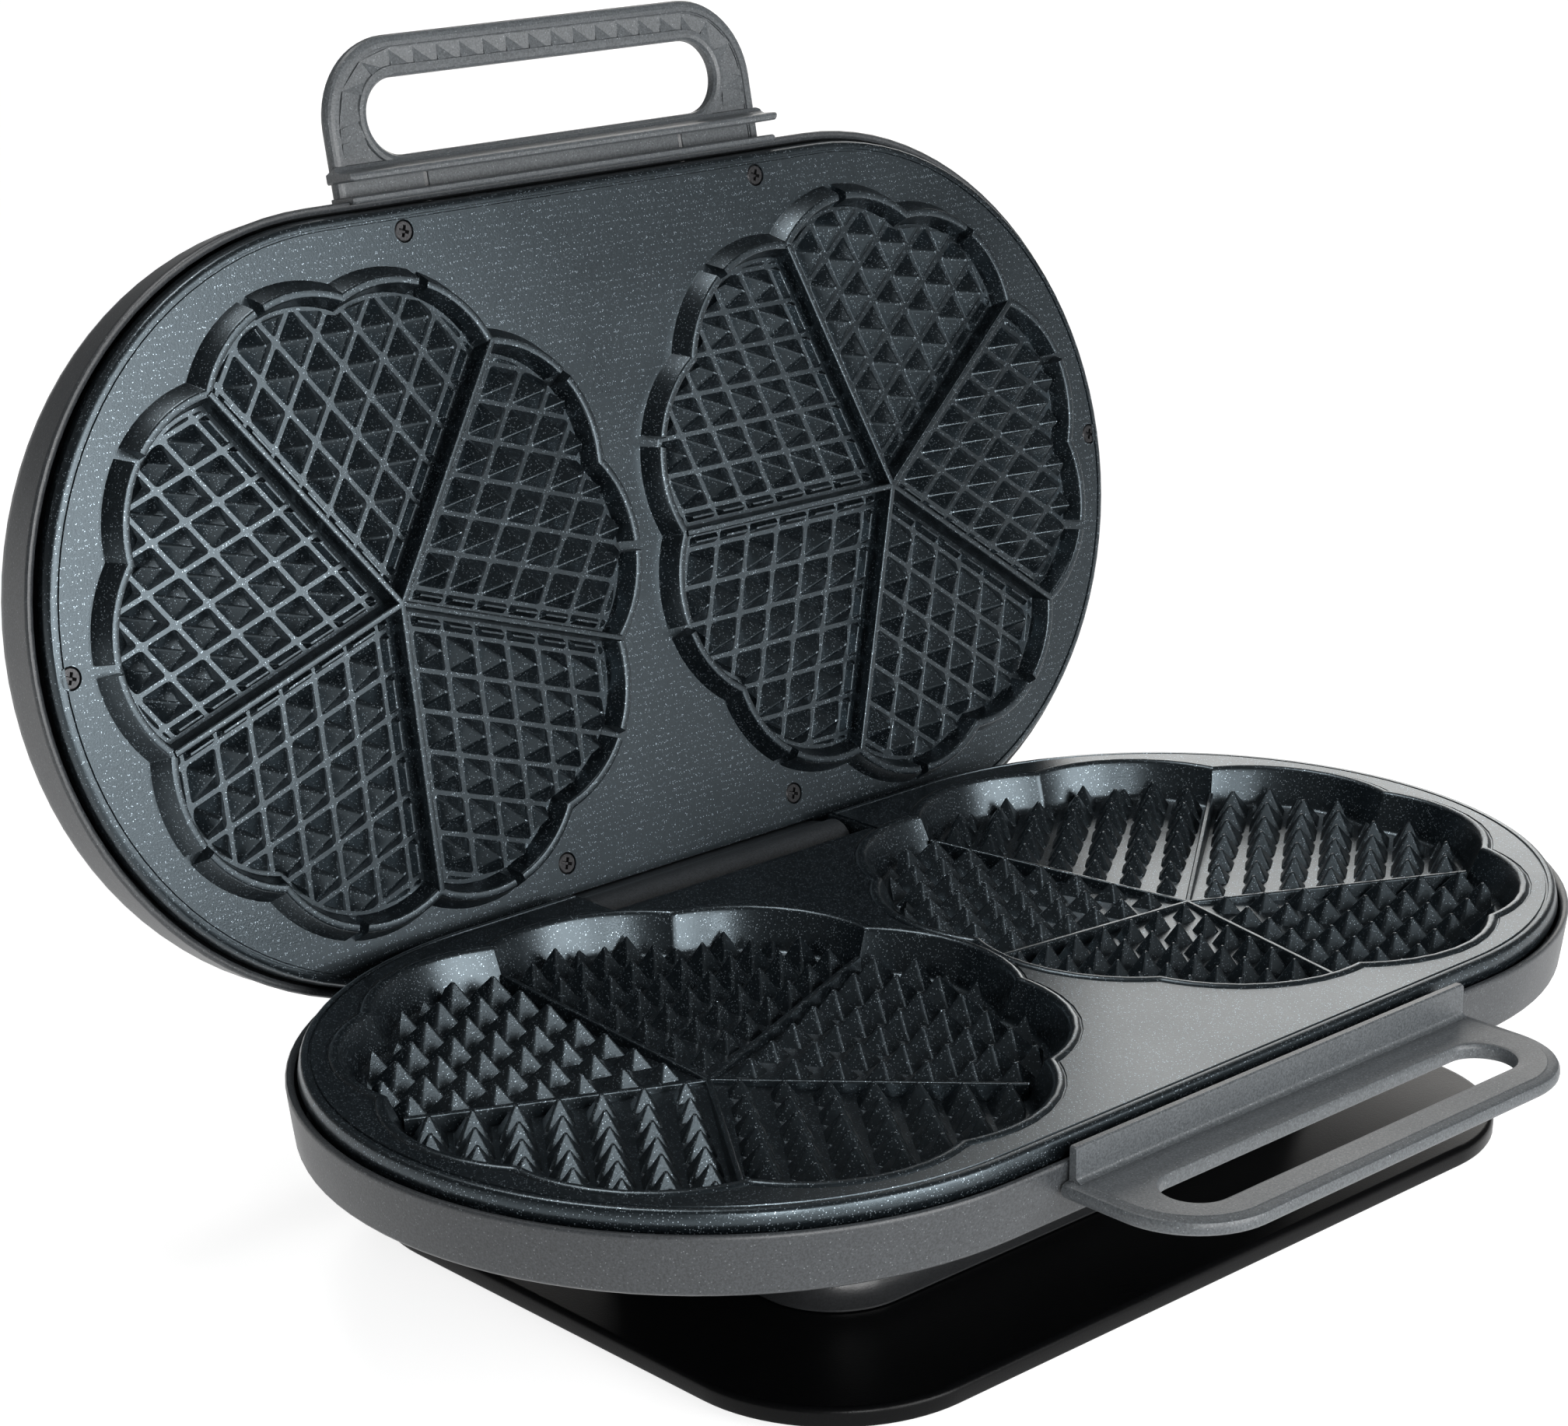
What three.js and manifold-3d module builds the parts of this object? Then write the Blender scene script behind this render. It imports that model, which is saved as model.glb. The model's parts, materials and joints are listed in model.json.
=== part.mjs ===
// Double heart-waffle maker, standing open on its pedestal.
// Millimetres, +Z up, +X to the user's right, -Y towards the user (handles in front, hinge behind).
// Heights inside this file are measured from the cooking face of the lower plate; the last lines
// move the finished model so that it stands on z = 0 with its outline centred on the origin.
// The lid is built in its closed place and then swung open about the hinge axis.

import * as THREE from 'three';
import { mergeVertices } from 'three/addons/utils/BufferGeometryUtils.js';
import Module from 'manifold-3d';

const wasm = await Module();
wasm.setup();

// ---------------------------------------------------------------- driving dimensions (mm, degrees)

const CLEAR = 0.35;              // gap between pieces that touch
const WELL_SPACING = 190;        // centre to centre of the two waffles
const END_CENTRE = 94;           // half length of the straight sides of plates and housings

const PLATE_RADIUS = 106.2;      // round ends of both cooking plates
const PLATE_THICK = 4.4;
const RIM_DROP = 4.7;            // plate face to housing rim
const RIM_RADIUS = 110;          // housing, outside, at its rim
const BAND_HEIGHT = 15.8;        // upright band of the housing
const BAND_TAPER = 2;            // how much the band narrows over its height
const SHELL_WALL = 2.5;
const BELLY_DROP = 33;           // plate face to the underside of the base
const BELLY_RADIUS = 78;
const DOME_HEIGHT = 29;          // plate face to the top of the lid shell
const FACE_GAP = 3.5;            // between the plate faces with the lid closed

const OPEN_ANGLE = 102;          // lid, from closed to the rest pose
const HINGE_Y = 101.4;
const HINGE_Z = -7.5;
const BARREL_RADIUS = 6.8;
const BARREL_LENGTH = 100;
const BARREL_CLEAR = 0.7;        // gap at each end of the barrel
const POCKET_REACH = 12.9;       // hinge axis to the front wall and to the floor of its pocket
const PIN_RADIUS = 2;
const PIN_LENGTH = 15;
const PIN_BORE_CLEAR = 0.1;      // radial, a running fit

const HEARTS = 5;                // hearts in one waffle
const LOBE_MID_RADIUS = 95;      // well outline at the middle of a lobe
const RIB_NOTCH_RADIUS = 87.75;  // well outline where a rib meets it
const CLEFT_RADIUS = 90.6;       // well outline in the cleft of a heart
const WELL_DRAFT = 5;            // how far the pan wall leans in
const WELL_RIM_DEPTH = 11.1;     // pan floor at its edge
const WELL_DISH = 5.3;           // how much lower the pan floor and its ribs are at the centre
const PAN_WALL = 2.6;
const RIB_HEIGHT = 4.8;
const RIB_FOOT = 2.6;
const RIB_LAND = 1.7;
const RIDGE_HEIGHT = 6.1;        // lobed ridge of the upper plate
const UPPER_FLOOR_PROUD = 0.1;   // upper waffle floor at its edge, proud of the plate face
const UPPER_RIB_PROUD = 6.4;     // upper ribs at their outer ends, proud of the plate face
const UPPER_DISH = 4;            // how much further the upper floor and ribs stand out at the centre
const RIDGE_OFFSETS = [1.6, 5, 7.6, 9.8];  // outer foot, land, land, inner foot, inside the well line
const VENT_WIDTH = 3;
const LEFT_TURN = 90;            // direction of one rib of each well, degrees
const RIGHT_TURN = 180;

const HANDLE_HALF = 79.5;        // half width of both handle loops
const HANDLE_REACH = 155;        // front of the loops from the well centres
const HANDLE_CORNER = 24.5;
const HANDLE_THICK = 4.5;
const HANDLE_DROP = 9.5;         // plate face to the loop
const GUARD_THICK = 2.3;         // upright strips that keep fingers off the plates
const BASE_GUARD_HALF = 77;
const BASE_GUARD_TOP = -0.35;
const BASE_SLOT = { half: 66, front: 143, back: 125 };
const LID_SLOT = { half: 65, front: 142.5, back: 121 };
const LID_GUARD_HALF = 80.3;
const LID_GUARD_Y = 115.1;       // inner face of the lid's outer strip
const LID_GUARD_LOW = 4.6;       // its lower edge, closed, above the lower plate face
const LID_STRIP_HALF = 79.6;
const LID_STRIP_LOW = 6.3;
const LID_SEAT = 1;              // recess of the lid shell behind the handle

const FOOT = { half: 146, front: -98, back: 106, corner: 45, thick: 5.5, top: -61 };
const PEDESTAL = { half: 98, depth: 49, corner: 17, wall: 3, flare: 6, flareHeight: 8 };
const RUBBER = { radius: 9, below: 2, stem: 3, inset: 26 };

const HEATER_RADIUS = 60;        // ring of each heating element
const HEATER_TUBE = 3.2;
const LEAD_RADIUS = 1.6;

const SCREW_HEAD = 3.3;
const SCREW_SHANK = 1.8;
const LID_SCREWS = [[-66.5, -99.8], [66.5, -99.8], [-45.1, 86], [45.1, 86], [-195.7, 0], [195.7, 0]];
const LOWER_POST_Y = 72;
const KNOB = { radius: 19, height: 12, x: 0, y: -60 };

// ---------------------------------------------------------------- finishes

const finish = (colour, roughness, metalness) =>
  new THREE.MeshStandardMaterial({ color: colour, roughness, metalness });
const NONSTICK = finish(0x3a3e44, 0.42, 0.35);
const HOUSING = finish(0x54504f, 0.7, 0);
const SATIN_BLACK = finish(0x17171a, 0.45, 0);
const STEEL = finish(0xb8babd, 0.35, 1);
const DARK_STEEL = finish(0x3a3a3c, 0.45, 1);
const RUBBER_BLACK = finish(0x101012, 0.9, 0);
const HEATER_STEEL = finish(0x6d6f6c, 0.5, 1);
const REFLECTOR = finish(0xc9cbcd, 0.3, 1);
const CERAMIC = finish(0xe6e0d0, 0.6, 0);
const INSULATION = finish(0xd8d4c6, 0.8, 0);
const RED_LENS = finish(0x8a1410, 0.2, 0);
const GREEN_LENS = finish(0x1d6b2a, 0.2, 0);

// ---------------------------------------------------------------- outlines (lists of [x, y])

const rad = (deg) => (deg * Math.PI) / 180;
const polar = (r, deg) => [r * Math.cos(rad(deg)), r * Math.sin(rad(deg))];

/** Points of an arc from one angle to another, both ends kept. */
function arc(cx, cy, r, from, to, steps) {
  const points = [];
  for (let i = 0; i <= steps; i += 1) {
    const [x, y] = polar(r, from + ((to - from) * i) / steps);
    points.push([cx + x, cy + y]);
  }
  return points;
}

/** Two half circles joined by straight sides, the outline of plates and housings. */
function stadium(radius, half = END_CENTRE, steps = 18) {
  return [...arc(half, 0, radius, -90, 90, steps), ...arc(-half, 0, radius, 90, 270, steps)];
}

function roundedRect(x0, x1, y0, y1, r, steps = 7) {
  return [
    ...arc(x1 - r, y1 - r, r, 0, 90, steps), ...arc(x0 + r, y1 - r, r, 90, 180, steps),
    ...arc(x0 + r, y0 + r, r, 180, 270, steps), ...arc(x1 - r, y0 + r, r, 270, 360, steps),
  ];
}

const circle = (cx, cy, r, steps) => arc(cx, cy, r, 0, 360, steps).slice(0, -1);

/** The circle that passes the rib notch, the lobe's middle and the cleft: [centre x, centre y, radius]. */
function lobeCircle() {
  const half = 180 / (2 * HEARTS);
  const [ax, ay] = polar(RIB_NOTCH_RADIUS, -half);
  const [bx, by] = [LOBE_MID_RADIUS, 0];
  const [cx, cy] = polar(CLEFT_RADIUS, half);
  const d = 2 * (ax * (by - cy) + bx * (cy - ay) + cx * (ay - by));
  const [a2, b2, c2] = [ax * ax + ay * ay, bx * bx + by * by, cx * cx + cy * cy];
  const x = (a2 * (by - cy) + b2 * (cy - ay) + c2 * (ay - by)) / d;
  const y = (a2 * (cx - bx) + b2 * (ax - cx) + c2 * (bx - ax)) / d;
  return [x, y, Math.hypot(ax - x, ay - y)];
}

/** Outline of one waffle, inset by a distance: ten lobes, one rib notch and one cleft per heart. */
function waffle(centreX, turn, inset, steps = 5) {
  const [ox, oy, r0] = lobeCircle();
  const r = r0 - inset;
  const half = 180 / (2 * HEARTS);
  const onRay = (deg) => {
    const [ux, uy] = polar(1, deg);
    const along = ox * ux + oy * uy;
    const reach = along + Math.sqrt(along * along - (ox * ox + oy * oy - r * r));
    return Math.atan2(reach * uy - oy, reach * ux - ox) * (180 / Math.PI);
  };
  const lobe = arc(ox, oy, r, onRay(-half), onRay(half), steps);
  const points = [];
  for (let k = 0; k < HEARTS; k += 1) {
    const ribAt = turn + (k * 360) / HEARTS;
    const nextRib = ribAt + 360 / HEARTS;
    points.push(...lobe.slice(0, -1).map(([x, y]) => spin(x, y, ribAt + half)));
    points.push(...lobe.slice(1).map(([x, y]) => spin(x, -y, nextRib - half)).reverse());
  }
  return points.map(([x, y]) => [x + centreX, y]);
}

function spin(x, y, deg) {
  const [c, s] = polar(1, deg);
  return [x * c - y * s, x * s + y * c];
}

// ---------------------------------------------------------------- solids

const at = (outline, z) => outline.map(([x, y]) => new THREE.Vector3(x, y, z));

/** Closed skin through rings of equal length. The ends are fans to a centre point at their own height. */
function loft(rings, firstZ = null, lastZ = null) {
  const count = rings[0].length;
  const points = rings.flat();
  const faces = [];
  for (let k = 0; k + 1 < rings.length; k += 1) {
    for (let i = 0; i < count; i += 1) {
      const j = (i + 1) % count;
      const [a, b] = [k * count + i, k * count + j];
      faces.push(a, b, b + count, a, b + count, a + count);
    }
  }
  const cap = (ring, z, base, flip) => {
    const centre = ring.reduce((sum, p) => sum.add(p), new THREE.Vector3()).divideScalar(count);
    if (z !== null) centre.z = z;
    points.push(centre);
    const c = points.length - 1;
    for (let i = 0; i < count; i += 1) {
      const [a, b] = [base + i, base + ((i + 1) % count)];
      faces.push(c, ...(flip ? [b, a] : [a, b]));
    }
  };
  cap(rings[0], firstZ, 0, true);
  cap(rings[rings.length - 1], lastZ, (rings.length - 1) * count, false);
  const geometry = new THREE.BufferGeometry().setFromPoints(points);
  geometry.setIndex(faces);
  return facingOut(geometry);
}

/** Turns the triangles round if the surface encloses a negative volume. */
function facingOut(geometry) {
  const p = geometry.attributes.position;
  const index = geometry.index.array;
  let volume = 0;
  const [a, b, c] = [new THREE.Vector3(), new THREE.Vector3(), new THREE.Vector3()];
  for (let i = 0; i < index.length; i += 3) {
    a.fromBufferAttribute(p, index[i]);
    b.fromBufferAttribute(p, index[i + 1]);
    c.fromBufferAttribute(p, index[i + 2]);
    volume += a.dot(b.cross(c));
  }
  if (volume < 0) {
    for (let i = 0; i < index.length; i += 3) [index[i], index[i + 1]] = [index[i + 1], index[i]];
  }
  return geometry;
}

function solid(geometry) {
  const bare = geometry.clone();
  bare.deleteAttribute('normal');
  bare.deleteAttribute('uv');
  const merged = mergeVertices(bare, 1e-4);
  return new wasm.Manifold(new wasm.Mesh({
    numProp: 3,
    vertProperties: new Float32Array(merged.attributes.position.array),
    triVerts: new Uint32Array(merged.index.array),
  }));
}

function surface(manifold) {
  const mesh = manifold.getMesh();
  const geometry = new THREE.BufferGeometry();
  geometry.setAttribute('position', new THREE.BufferAttribute(mesh.vertProperties, 3));
  geometry.setIndex(new THREE.BufferAttribute(mesh.triVerts, 1));
  return geometry;
}

const block = (x0, x1, y0, y1, z0, z1) =>
  solid(new THREE.BoxGeometry(x1 - x0, y1 - y0, z1 - z0)
    .translate((x0 + x1) / 2, (y0 + y1) / 2, (z0 + z1) / 2));

/** Cylinder along an axis, from a start point. */
function rod(axis, start, length, radius, sides = 20) {
  const geometry = new THREE.CylinderGeometry(radius, radius, length, sides);
  if (axis === 'x') geometry.rotateZ(-Math.PI / 2).translate(length / 2, 0, 0);
  if (axis === 'y') geometry.translate(0, length / 2, 0);
  if (axis === 'z') geometry.rotateX(Math.PI / 2).translate(0, 0, length / 2);
  return solid(geometry.translate(...start));
}

const plate = (outline, z0, z1) => solid(loft([at(outline, z0), at(outline, z1)]));

/** Frustum between two inset outlines of the same waffle. */
const wafflePlug = (cx, turn, insets, heights, endZ = null) =>
  solid(loft(insets.map((inset, i) => at(waffle(cx, turn, inset), heights[i])), null, endZ));

const joinAll = (list) => list.reduce((whole, piece) => whole.add(piece));
const cutAll = (whole, list) => list.reduce((rest, piece) => rest.subtract(piece), whole);

function tube(points, radius, steps, sides = 10) {
  const section = new THREE.Shape(circle(0, 0, radius, sides).map(([x, y]) => new THREE.Vector2(x, y)));
  const path = new THREE.CatmullRomCurve3(points.map((p) => new THREE.Vector3(...p)), false, 'centripetal');
  return new THREE.ExtrudeGeometry(section, { steps, extrudePath: path, bevelEnabled: false });
}

// ---------------------------------------------------------------- shared shapes

const WELLS = [[-WELL_SPACING / 2, LEFT_TURN], [WELL_SPACING / 2, RIGHT_TURN]];
const mirrored = (z) => FACE_GAP - z;   // lid heights mirror base heights about the closing plane

/** Solid of stadium sections, one for each [radius, z] station. */
const stadiumLoft = (stations) => solid(loft(stations.map(([r, z]) => at(stadium(r), z))));

/** Radius of the upright band at a height below the plate face. */
const bandRadius = (drop) => RIM_RADIUS - (BAND_TAPER * (drop - RIM_DROP)) / BAND_HEIGHT;
const BAND_LOW = RIM_DROP + BAND_HEIGHT;

/** One radial rib with a narrow land: it rises from a sloping floor. */
function rib(cx, deg, length, floor, crest) {
  const section = (along, low, high) => [
    [along, -RIB_FOOT / 2, low], [along, RIB_FOOT / 2, low],
    [along, RIB_LAND / 2, high], [along, -RIB_LAND / 2, high],
  ].map(([x, y, z]) => {
    const [px, py] = spin(x, y, deg);
    return new THREE.Vector3(px + cx, py, z);
  });
  return solid(loft([section(0, floor[0], crest[0]), section(length, floor[1], crest[1])]));
}

/** Five ribs of a well. Floor and crest are [centre, edge] heights. */
const ribs = (cx, turn, length, floor, crest) =>
  Array.from({ length: HEARTS }, (_, k) => rib(cx, turn + (k * 360) / HEARTS, length, floor, crest));

/** Space that the hinge barrel turns in: clear across its length and open to the rear. */
function hingePocket(grow, low, high) {
  const half = BARREL_LENGTH / 2 + BARREL_CLEAR + grow;
  return block(-half, half, HINGE_Y - POCKET_REACH - grow, RIM_RADIUS * 2, low, high);
}

// ---------------------------------------------------------------- base

const POCKET_FLOOR = HINGE_Z - POCKET_REACH;
const POCKET_WALL = 1.8;
const LUG = { length: 9, front: 94, back: 109, low: -13 };

function basePosts() {
  const top = -PLATE_THICK - CLEAR;
  return [-LOWER_POST_Y, LOWER_POST_Y].map((y) =>
    rod('z', [0, y, -BELLY_DROP + SHELL_WALL - 0.5], top + BELLY_DROP - SHELL_WALL + 0.5, 5));
}

const pinHole = (side) => rod('x',
  [side > 0 ? BARREL_LENGTH / 2 - 10 : -BARREL_LENGTH / 2 - 20, HINGE_Y, HINGE_Z], 30,
  PIN_RADIUS + PIN_BORE_CLEAR, 24);

function baseHousing() {
  const outer = [
    [RIM_RADIUS - 0.6, -RIM_DROP], [RIM_RADIUS, -RIM_DROP - 0.6], [bandRadius(BAND_LOW), -BAND_LOW],
    [bandRadius(BAND_LOW) - 1.4, -BAND_LOW - 1.2], [BELLY_RADIUS + 4, -BELLY_DROP + 2.5],
    [BELLY_RADIUS - 2, -BELLY_DROP],
  ];
  const inner = [
    [RIM_RADIUS - SHELL_WALL, -RIM_DROP + 1], [RIM_RADIUS - SHELL_WALL, -RIM_DROP - 0.6],
    [bandRadius(BAND_LOW) - SHELL_WALL, -BAND_LOW + 0.8], [BELLY_RADIUS + 2, -BELLY_DROP + SHELL_WALL + 2.2],
    [BELLY_RADIUS - 3, -BELLY_DROP + SHELL_WALL],
  ];
  const rimTop = -RIM_DROP;
  const pocketBlock = hingePocket(POCKET_WALL, -BELLY_DROP * 2, rimTop);
  const lugs = [-1, 1].map((side) => {
    const near = BARREL_LENGTH / 2 + BARREL_CLEAR;
    const [x0, x1] = side > 0 ? [near, near + LUG.length] : [-near - LUG.length, -near];
    return block(x0, x1, LUG.front, LUG.back, LUG.low, -PLATE_THICK - CLEAR);
  });
  const cavity = cutAll(stadiumLoft(inner), [pocketBlock, ...lugs, ...basePosts()]);
  const holes = [
    hingePocket(0, POCKET_FLOOR, 10), pinHole(-1), pinHole(1),
    plate(roundedRect(-OPENING.half, OPENING.half, -OPENING.depth, OPENING.depth, 10),
      -BELLY_DROP - 5, -BELLY_DROP + 5),
    ...[-LOWER_POST_Y, LOWER_POST_Y].map((y) =>
      rod('z', [0, y, -BELLY_DROP - 1], 40, SCREW_SHANK + CLEAR, 10)),
    ...HANDLE_SCREW_X.map((x) => rod('y', [x, -RIM_RADIUS - 2, HANDLE_SCREW_Z], 8, SCREW_SHANK + CLEAR, 10)),
    ...pedestalScrews().map(([x, y]) => rod('z', [x, y, -BELLY_DROP - 5], 10, SCREW_SHANK + CLEAR, 10)),
  ];
  return cutAll(stadiumLoft(outer).subtract(cavity), holes);
}

const OPENING = { half: 55, depth: 26 };   // hole in the belly for the leads
const HANDLE_SCREW_X = [-48, 48];
const HANDLE_SCREW_Z = -HANDLE_DROP - HANDLE_THICK / 2;
const pedestalScrews = () => [[-80, -42], [80, -42], [-80, 42], [80, 42]];

/** Lower plate: flat rim, two lobed pans with dished floors, ribs between the hearts. */
function lowerPlate() {
  const rimFloor = -WELL_RIM_DEPTH;
  const midFloor = rimFloor - WELL_DISH;
  const slab = stadiumLoft([[PLATE_RADIUS - 0.8, 0], [PLATE_RADIUS, -0.8], [PLATE_RADIUS, -PLATE_THICK]]);
  const draft = (z) => (WELL_DRAFT * -z) / WELL_RIM_DEPTH;
  const pans = WELLS.map(([cx, turn]) => wafflePlug(cx, turn,
    [draft(-PLATE_THICK) - PAN_WALL, draft(-PLATE_THICK) - PAN_WALL, WELL_DRAFT - PAN_WALL + 0.8],
    [-PLATE_THICK / 2, -PLATE_THICK, rimFloor - PAN_WALL], midFloor - PAN_WALL));
  const wells = WELLS.map(([cx, turn]) => wafflePlug(cx, turn,
    [draft(1), 0, WELL_DRAFT], [1, 0, rimFloor], midFloor));
  const reach = RIB_NOTCH_RADIUS - WELL_DRAFT;
  const fins = WELLS.flatMap(([cx, turn]) => ribs(cx, turn, reach + 2,
    [midFloor - 1, rimFloor - 0.8], [midFloor + RIB_HEIGHT, rimFloor + RIB_HEIGHT]));
  const whole = joinAll([slab, ...pans]);
  const pocket = hingePocket(0, -60, 10);
  const under = hingePocket(POCKET_WALL + CLEAR, -60, -PLATE_THICK);
  const screwHoles = [-LOWER_POST_Y, LOWER_POST_Y].map((y) =>
    rod('z', [0, y, -PLATE_THICK - 1], PLATE_THICK - 0.6, SCREW_SHANK + CLEAR, 10));
  return cutAll(joinAll([cutAll(whole, wells), ...fins]), [pocket, under, ...screwHoles]);
}

/** Loop handle lying flat, with its slot and one or more upright strips. */
function handleLoop(slot, root, z0, z1) {
  const outline = roundedRect(-HANDLE_HALF, HANDLE_HALF, -HANDLE_REACH, -root + HANDLE_CORNER, HANDLE_CORNER);
  const loop = plate(outline, z0, z1).subtract(
    block(-200, 200, -root, 0, z0 - 1, z1 + 1));
  const round = (slot.front - slot.back) / 2 - 0.01;
  const opening = roundedRect(-slot.half, slot.half, -slot.front, -slot.back, round);
  return loop.subtract(plate(opening, z0 - 1, z1 + 1));
}

function baseHandle() {
  const root = RIM_RADIUS + CLEAR;
  const low = -HANDLE_DROP - HANDLE_THICK;
  const loop = handleLoop(BASE_SLOT, root, low, -HANDLE_DROP);
  const guard = block(-BASE_GUARD_HALF, BASE_GUARD_HALF, -root - GUARD_THICK, -root, low, BASE_GUARD_TOP);
  const holes = HANDLE_SCREW_X.map((x) =>
    rod('y', [x, -root - 9, HANDLE_SCREW_Z], 12, SCREW_SHANK + CLEAR / 2, 10));
  return cutAll(loop.add(guard), holes);
}

/** Screw whose head is at the start: head and shank along an axis, in the given direction. */
function screw(axis, start, direction, headHeight, length, head = SCREW_HEAD, shank = SCREW_SHANK) {
  const lane = { x: 0, y: 1, z: 2 }[axis];
  const shift = (d) => start.map((v, i) => (i === lane ? v + d : v));
  const headFrom = direction > 0 ? 0 : -headHeight;
  const shankFrom = direction > 0 ? headHeight - 0.2 : -headHeight + 0.2 - length;
  return rod(axis, shift(headFrom), headHeight, head, 14).add(rod(axis, shift(shankFrom), length, shank, 8));
}

const handleScrew = (x) =>
  screw('y', [x, -bandRadius(-HANDLE_SCREW_Z) + SHELL_WALL + 2 + 2 * CLEAR, HANDLE_SCREW_Z], -1, 2, 11);

function pedestal() {
  const { half, depth, corner, wall, flare, flareHeight } = PEDESTAL;
  const top = -BELLY_DROP - CLEAR;
  const bottom = FOOT.top + CLEAR;
  const ring = (grow) => roundedRect(-half - grow, half + grow, -depth - grow, depth + grow, corner + grow);
  const stations = [[0, top], [0, bottom + flareHeight], [flare * 0.25, bottom + flareHeight * 0.45],
    [flare, bottom]];
  const outer = solid(loft(stations.map(([grow, z]) => at(ring(grow), z))));
  const bosses = pedestalScrews().map(([x, y]) => rod('z', [x, y, bottom], top - bottom, 5, 16));
  const inside = cutAll(plate(ring(-wall), bottom - 1, top + 1), bosses);
  const gland = rod('y', [0, depth - 10, GLAND_Z], 20, GLAND_RADIUS + CLEAR, 24);
  const screwHoles = pedestalScrews().flatMap(([x, y]) => [
    rod('z', [x, y, bottom - 1], 14, SCREW_SHANK + CLEAR / 2, 10),
    rod('z', [x, y, top - 11], 12, SCREW_SHANK + CLEAR / 2, 10),
  ]);
  return cutAll(outer.subtract(inside), [gland, ...screwHoles]);
}

const GLAND_RADIUS = 6;
const GLAND_Z = -43;

function footPlate() {
  const { half, front, back, corner, thick, top } = FOOT;
  const ring = (grow) => roundedRect(-half - grow, half + grow, front - grow, back + grow, corner + grow, 9);
  const slab = solid(loft([at(ring(-0.8), top), at(ring(0), top - 0.8), at(ring(0), top - thick + 0.6),
    at(ring(-0.6), top - thick)]));
  const holes = [
    ...feetPlaces().map(([x, y]) => rod('z', [x, y, top - thick - 1], thick - 1, RUBBER.stem + CLEAR, 16)),
    ...pedestalScrews().flatMap(([x, y]) => [
      rod('z', [x, y, top - thick - 1], thick + 2, SCREW_SHANK + CLEAR, 10),
      rod('z', [x, y, top - thick - 1], 1 + 2.5, SCREW_HEAD + CLEAR, 14),
    ]),
  ];
  return cutAll(slab, holes);
}

const feetPlaces = () => [-1, 1].flatMap((sx) => [FOOT.front + RUBBER.inset, FOOT.back - RUBBER.inset]
  .map((y) => [sx * (FOOT.half - RUBBER.inset), y]));

const rubberFoot = ([x, y]) => {
  const under = FOOT.top - FOOT.thick;
  return rod('z', [x, y, under - RUBBER.below], RUBBER.below - CLEAR, RUBBER.radius, 24)
    .add(rod('z', [x, y, under - RUBBER.below + 0.5], RUBBER.below + 1.5, RUBBER.stem, 16));
};

/** Ring heating element, open towards the middle of the appliance, with two straight ends. */
function heater(cx, z) {
  const inward = cx < 0 ? 0 : 180;
  const gap = 10;
  const sign = cx < 0 ? 1 : -1;
  const ring = arc(cx, 0, HEATER_RADIUS, inward + gap, inward + 360 - gap, 24);
  const [first, last] = [ring[0], ring[ring.length - 1]];
  const end = -sign * 10;
  const straight = ([, y]) => [[end, y * 0.8], [end - sign * 12, y * 0.82]];
  const path = [...straight(first), ...ring, ...straight(last).reverse()];
  return tube(path.map(([x, y]) => [x, y, z]), HEATER_TUBE, 34, 6);
}

const LOWER_HEATER_Z = -WELL_RIM_DEPTH - WELL_DISH - PAN_WALL - CLEAR - HEATER_TUBE + 1.1;
const LOWER_REFLECTOR_Z = LOWER_HEATER_Z - HEATER_TUBE - 1.2;

function reflector(z, radius, slots) {
  const sheet = plate(stadium(radius, END_CENTRE, 16), z - 0.8, z);
  return cutAll(sheet, slots.map(([x, y, hx, hy]) => block(x - hx, x + hx, y - hy, y + hy, z - 2, z + 2)));
}

/** Lead from a lower heating element down through the belly to the terminal block. */
function lead(side) {
  const start = side * 17;
  return tube([
    [start, side * 16, LOWER_REFLECTOR_Z - 2.4], [start, side * 16, -BELLY_DROP - 4],
    [start * 0.9, side * 13, -42], [start * 0.6, side * 6, TERMINAL.z + TERMINAL.height + 1.2],
  ], LEAD_RADIUS, 14, 8);
}

const TERMINAL = { half: 17, depth: 9, height: 11, z: FOOT.top + CLEAR };

function terminalBlock() {
  const { half, depth, height, z } = TERMINAL;
  const body = block(-half, half, -depth, depth, z, z + height);
  const wells = [-10, 0, 10].map((x) => rod('z', [x, -4, z + height - 5], 8, 2.4, 12));
  return cutAll(body, wells);
}

/** Gland where the mains lead enters: a flanged grommet in the back of the pedestal. */
function cordGland() {
  const face = PEDESTAL.depth;
  const inside = face - PEDESTAL.wall;
  const sleeve = rod('y', [0, inside - 4, GLAND_Z], 14, GLAND_RADIUS, 24);
  const flange = rod('y', [0, face + CLEAR, GLAND_Z], 3, GLAND_RADIUS + 2.5, 20);
  return joinAll([sleeve, flange]).subtract(rod('y', [0, inside - 6, GLAND_Z], 20, 3.6, 20));
}

const thermostatDisc = (x, y, top, down) => {
  const body = rod('z', [x, y, top - down], down, 7.5, 20);
  return joinAll([body, block(x - 3, x + 3, y - 11, y + 11, top - down + 2, top - down + 4)]);
};

const hingePin = (side) => {
  const inner = BARREL_LENGTH / 2 - 6.5;
  return rod('x', [side > 0 ? inner : -inner - PIN_LENGTH, HINGE_Y, HINGE_Z], PIN_LENGTH, PIN_RADIUS, 16);
};

// ---------------------------------------------------------------- lid (heights as when closed)

const KNUCKLE_FRONT = HINGE_Y - 5.8;
const KNUCKLE_TOP = 17;

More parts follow.
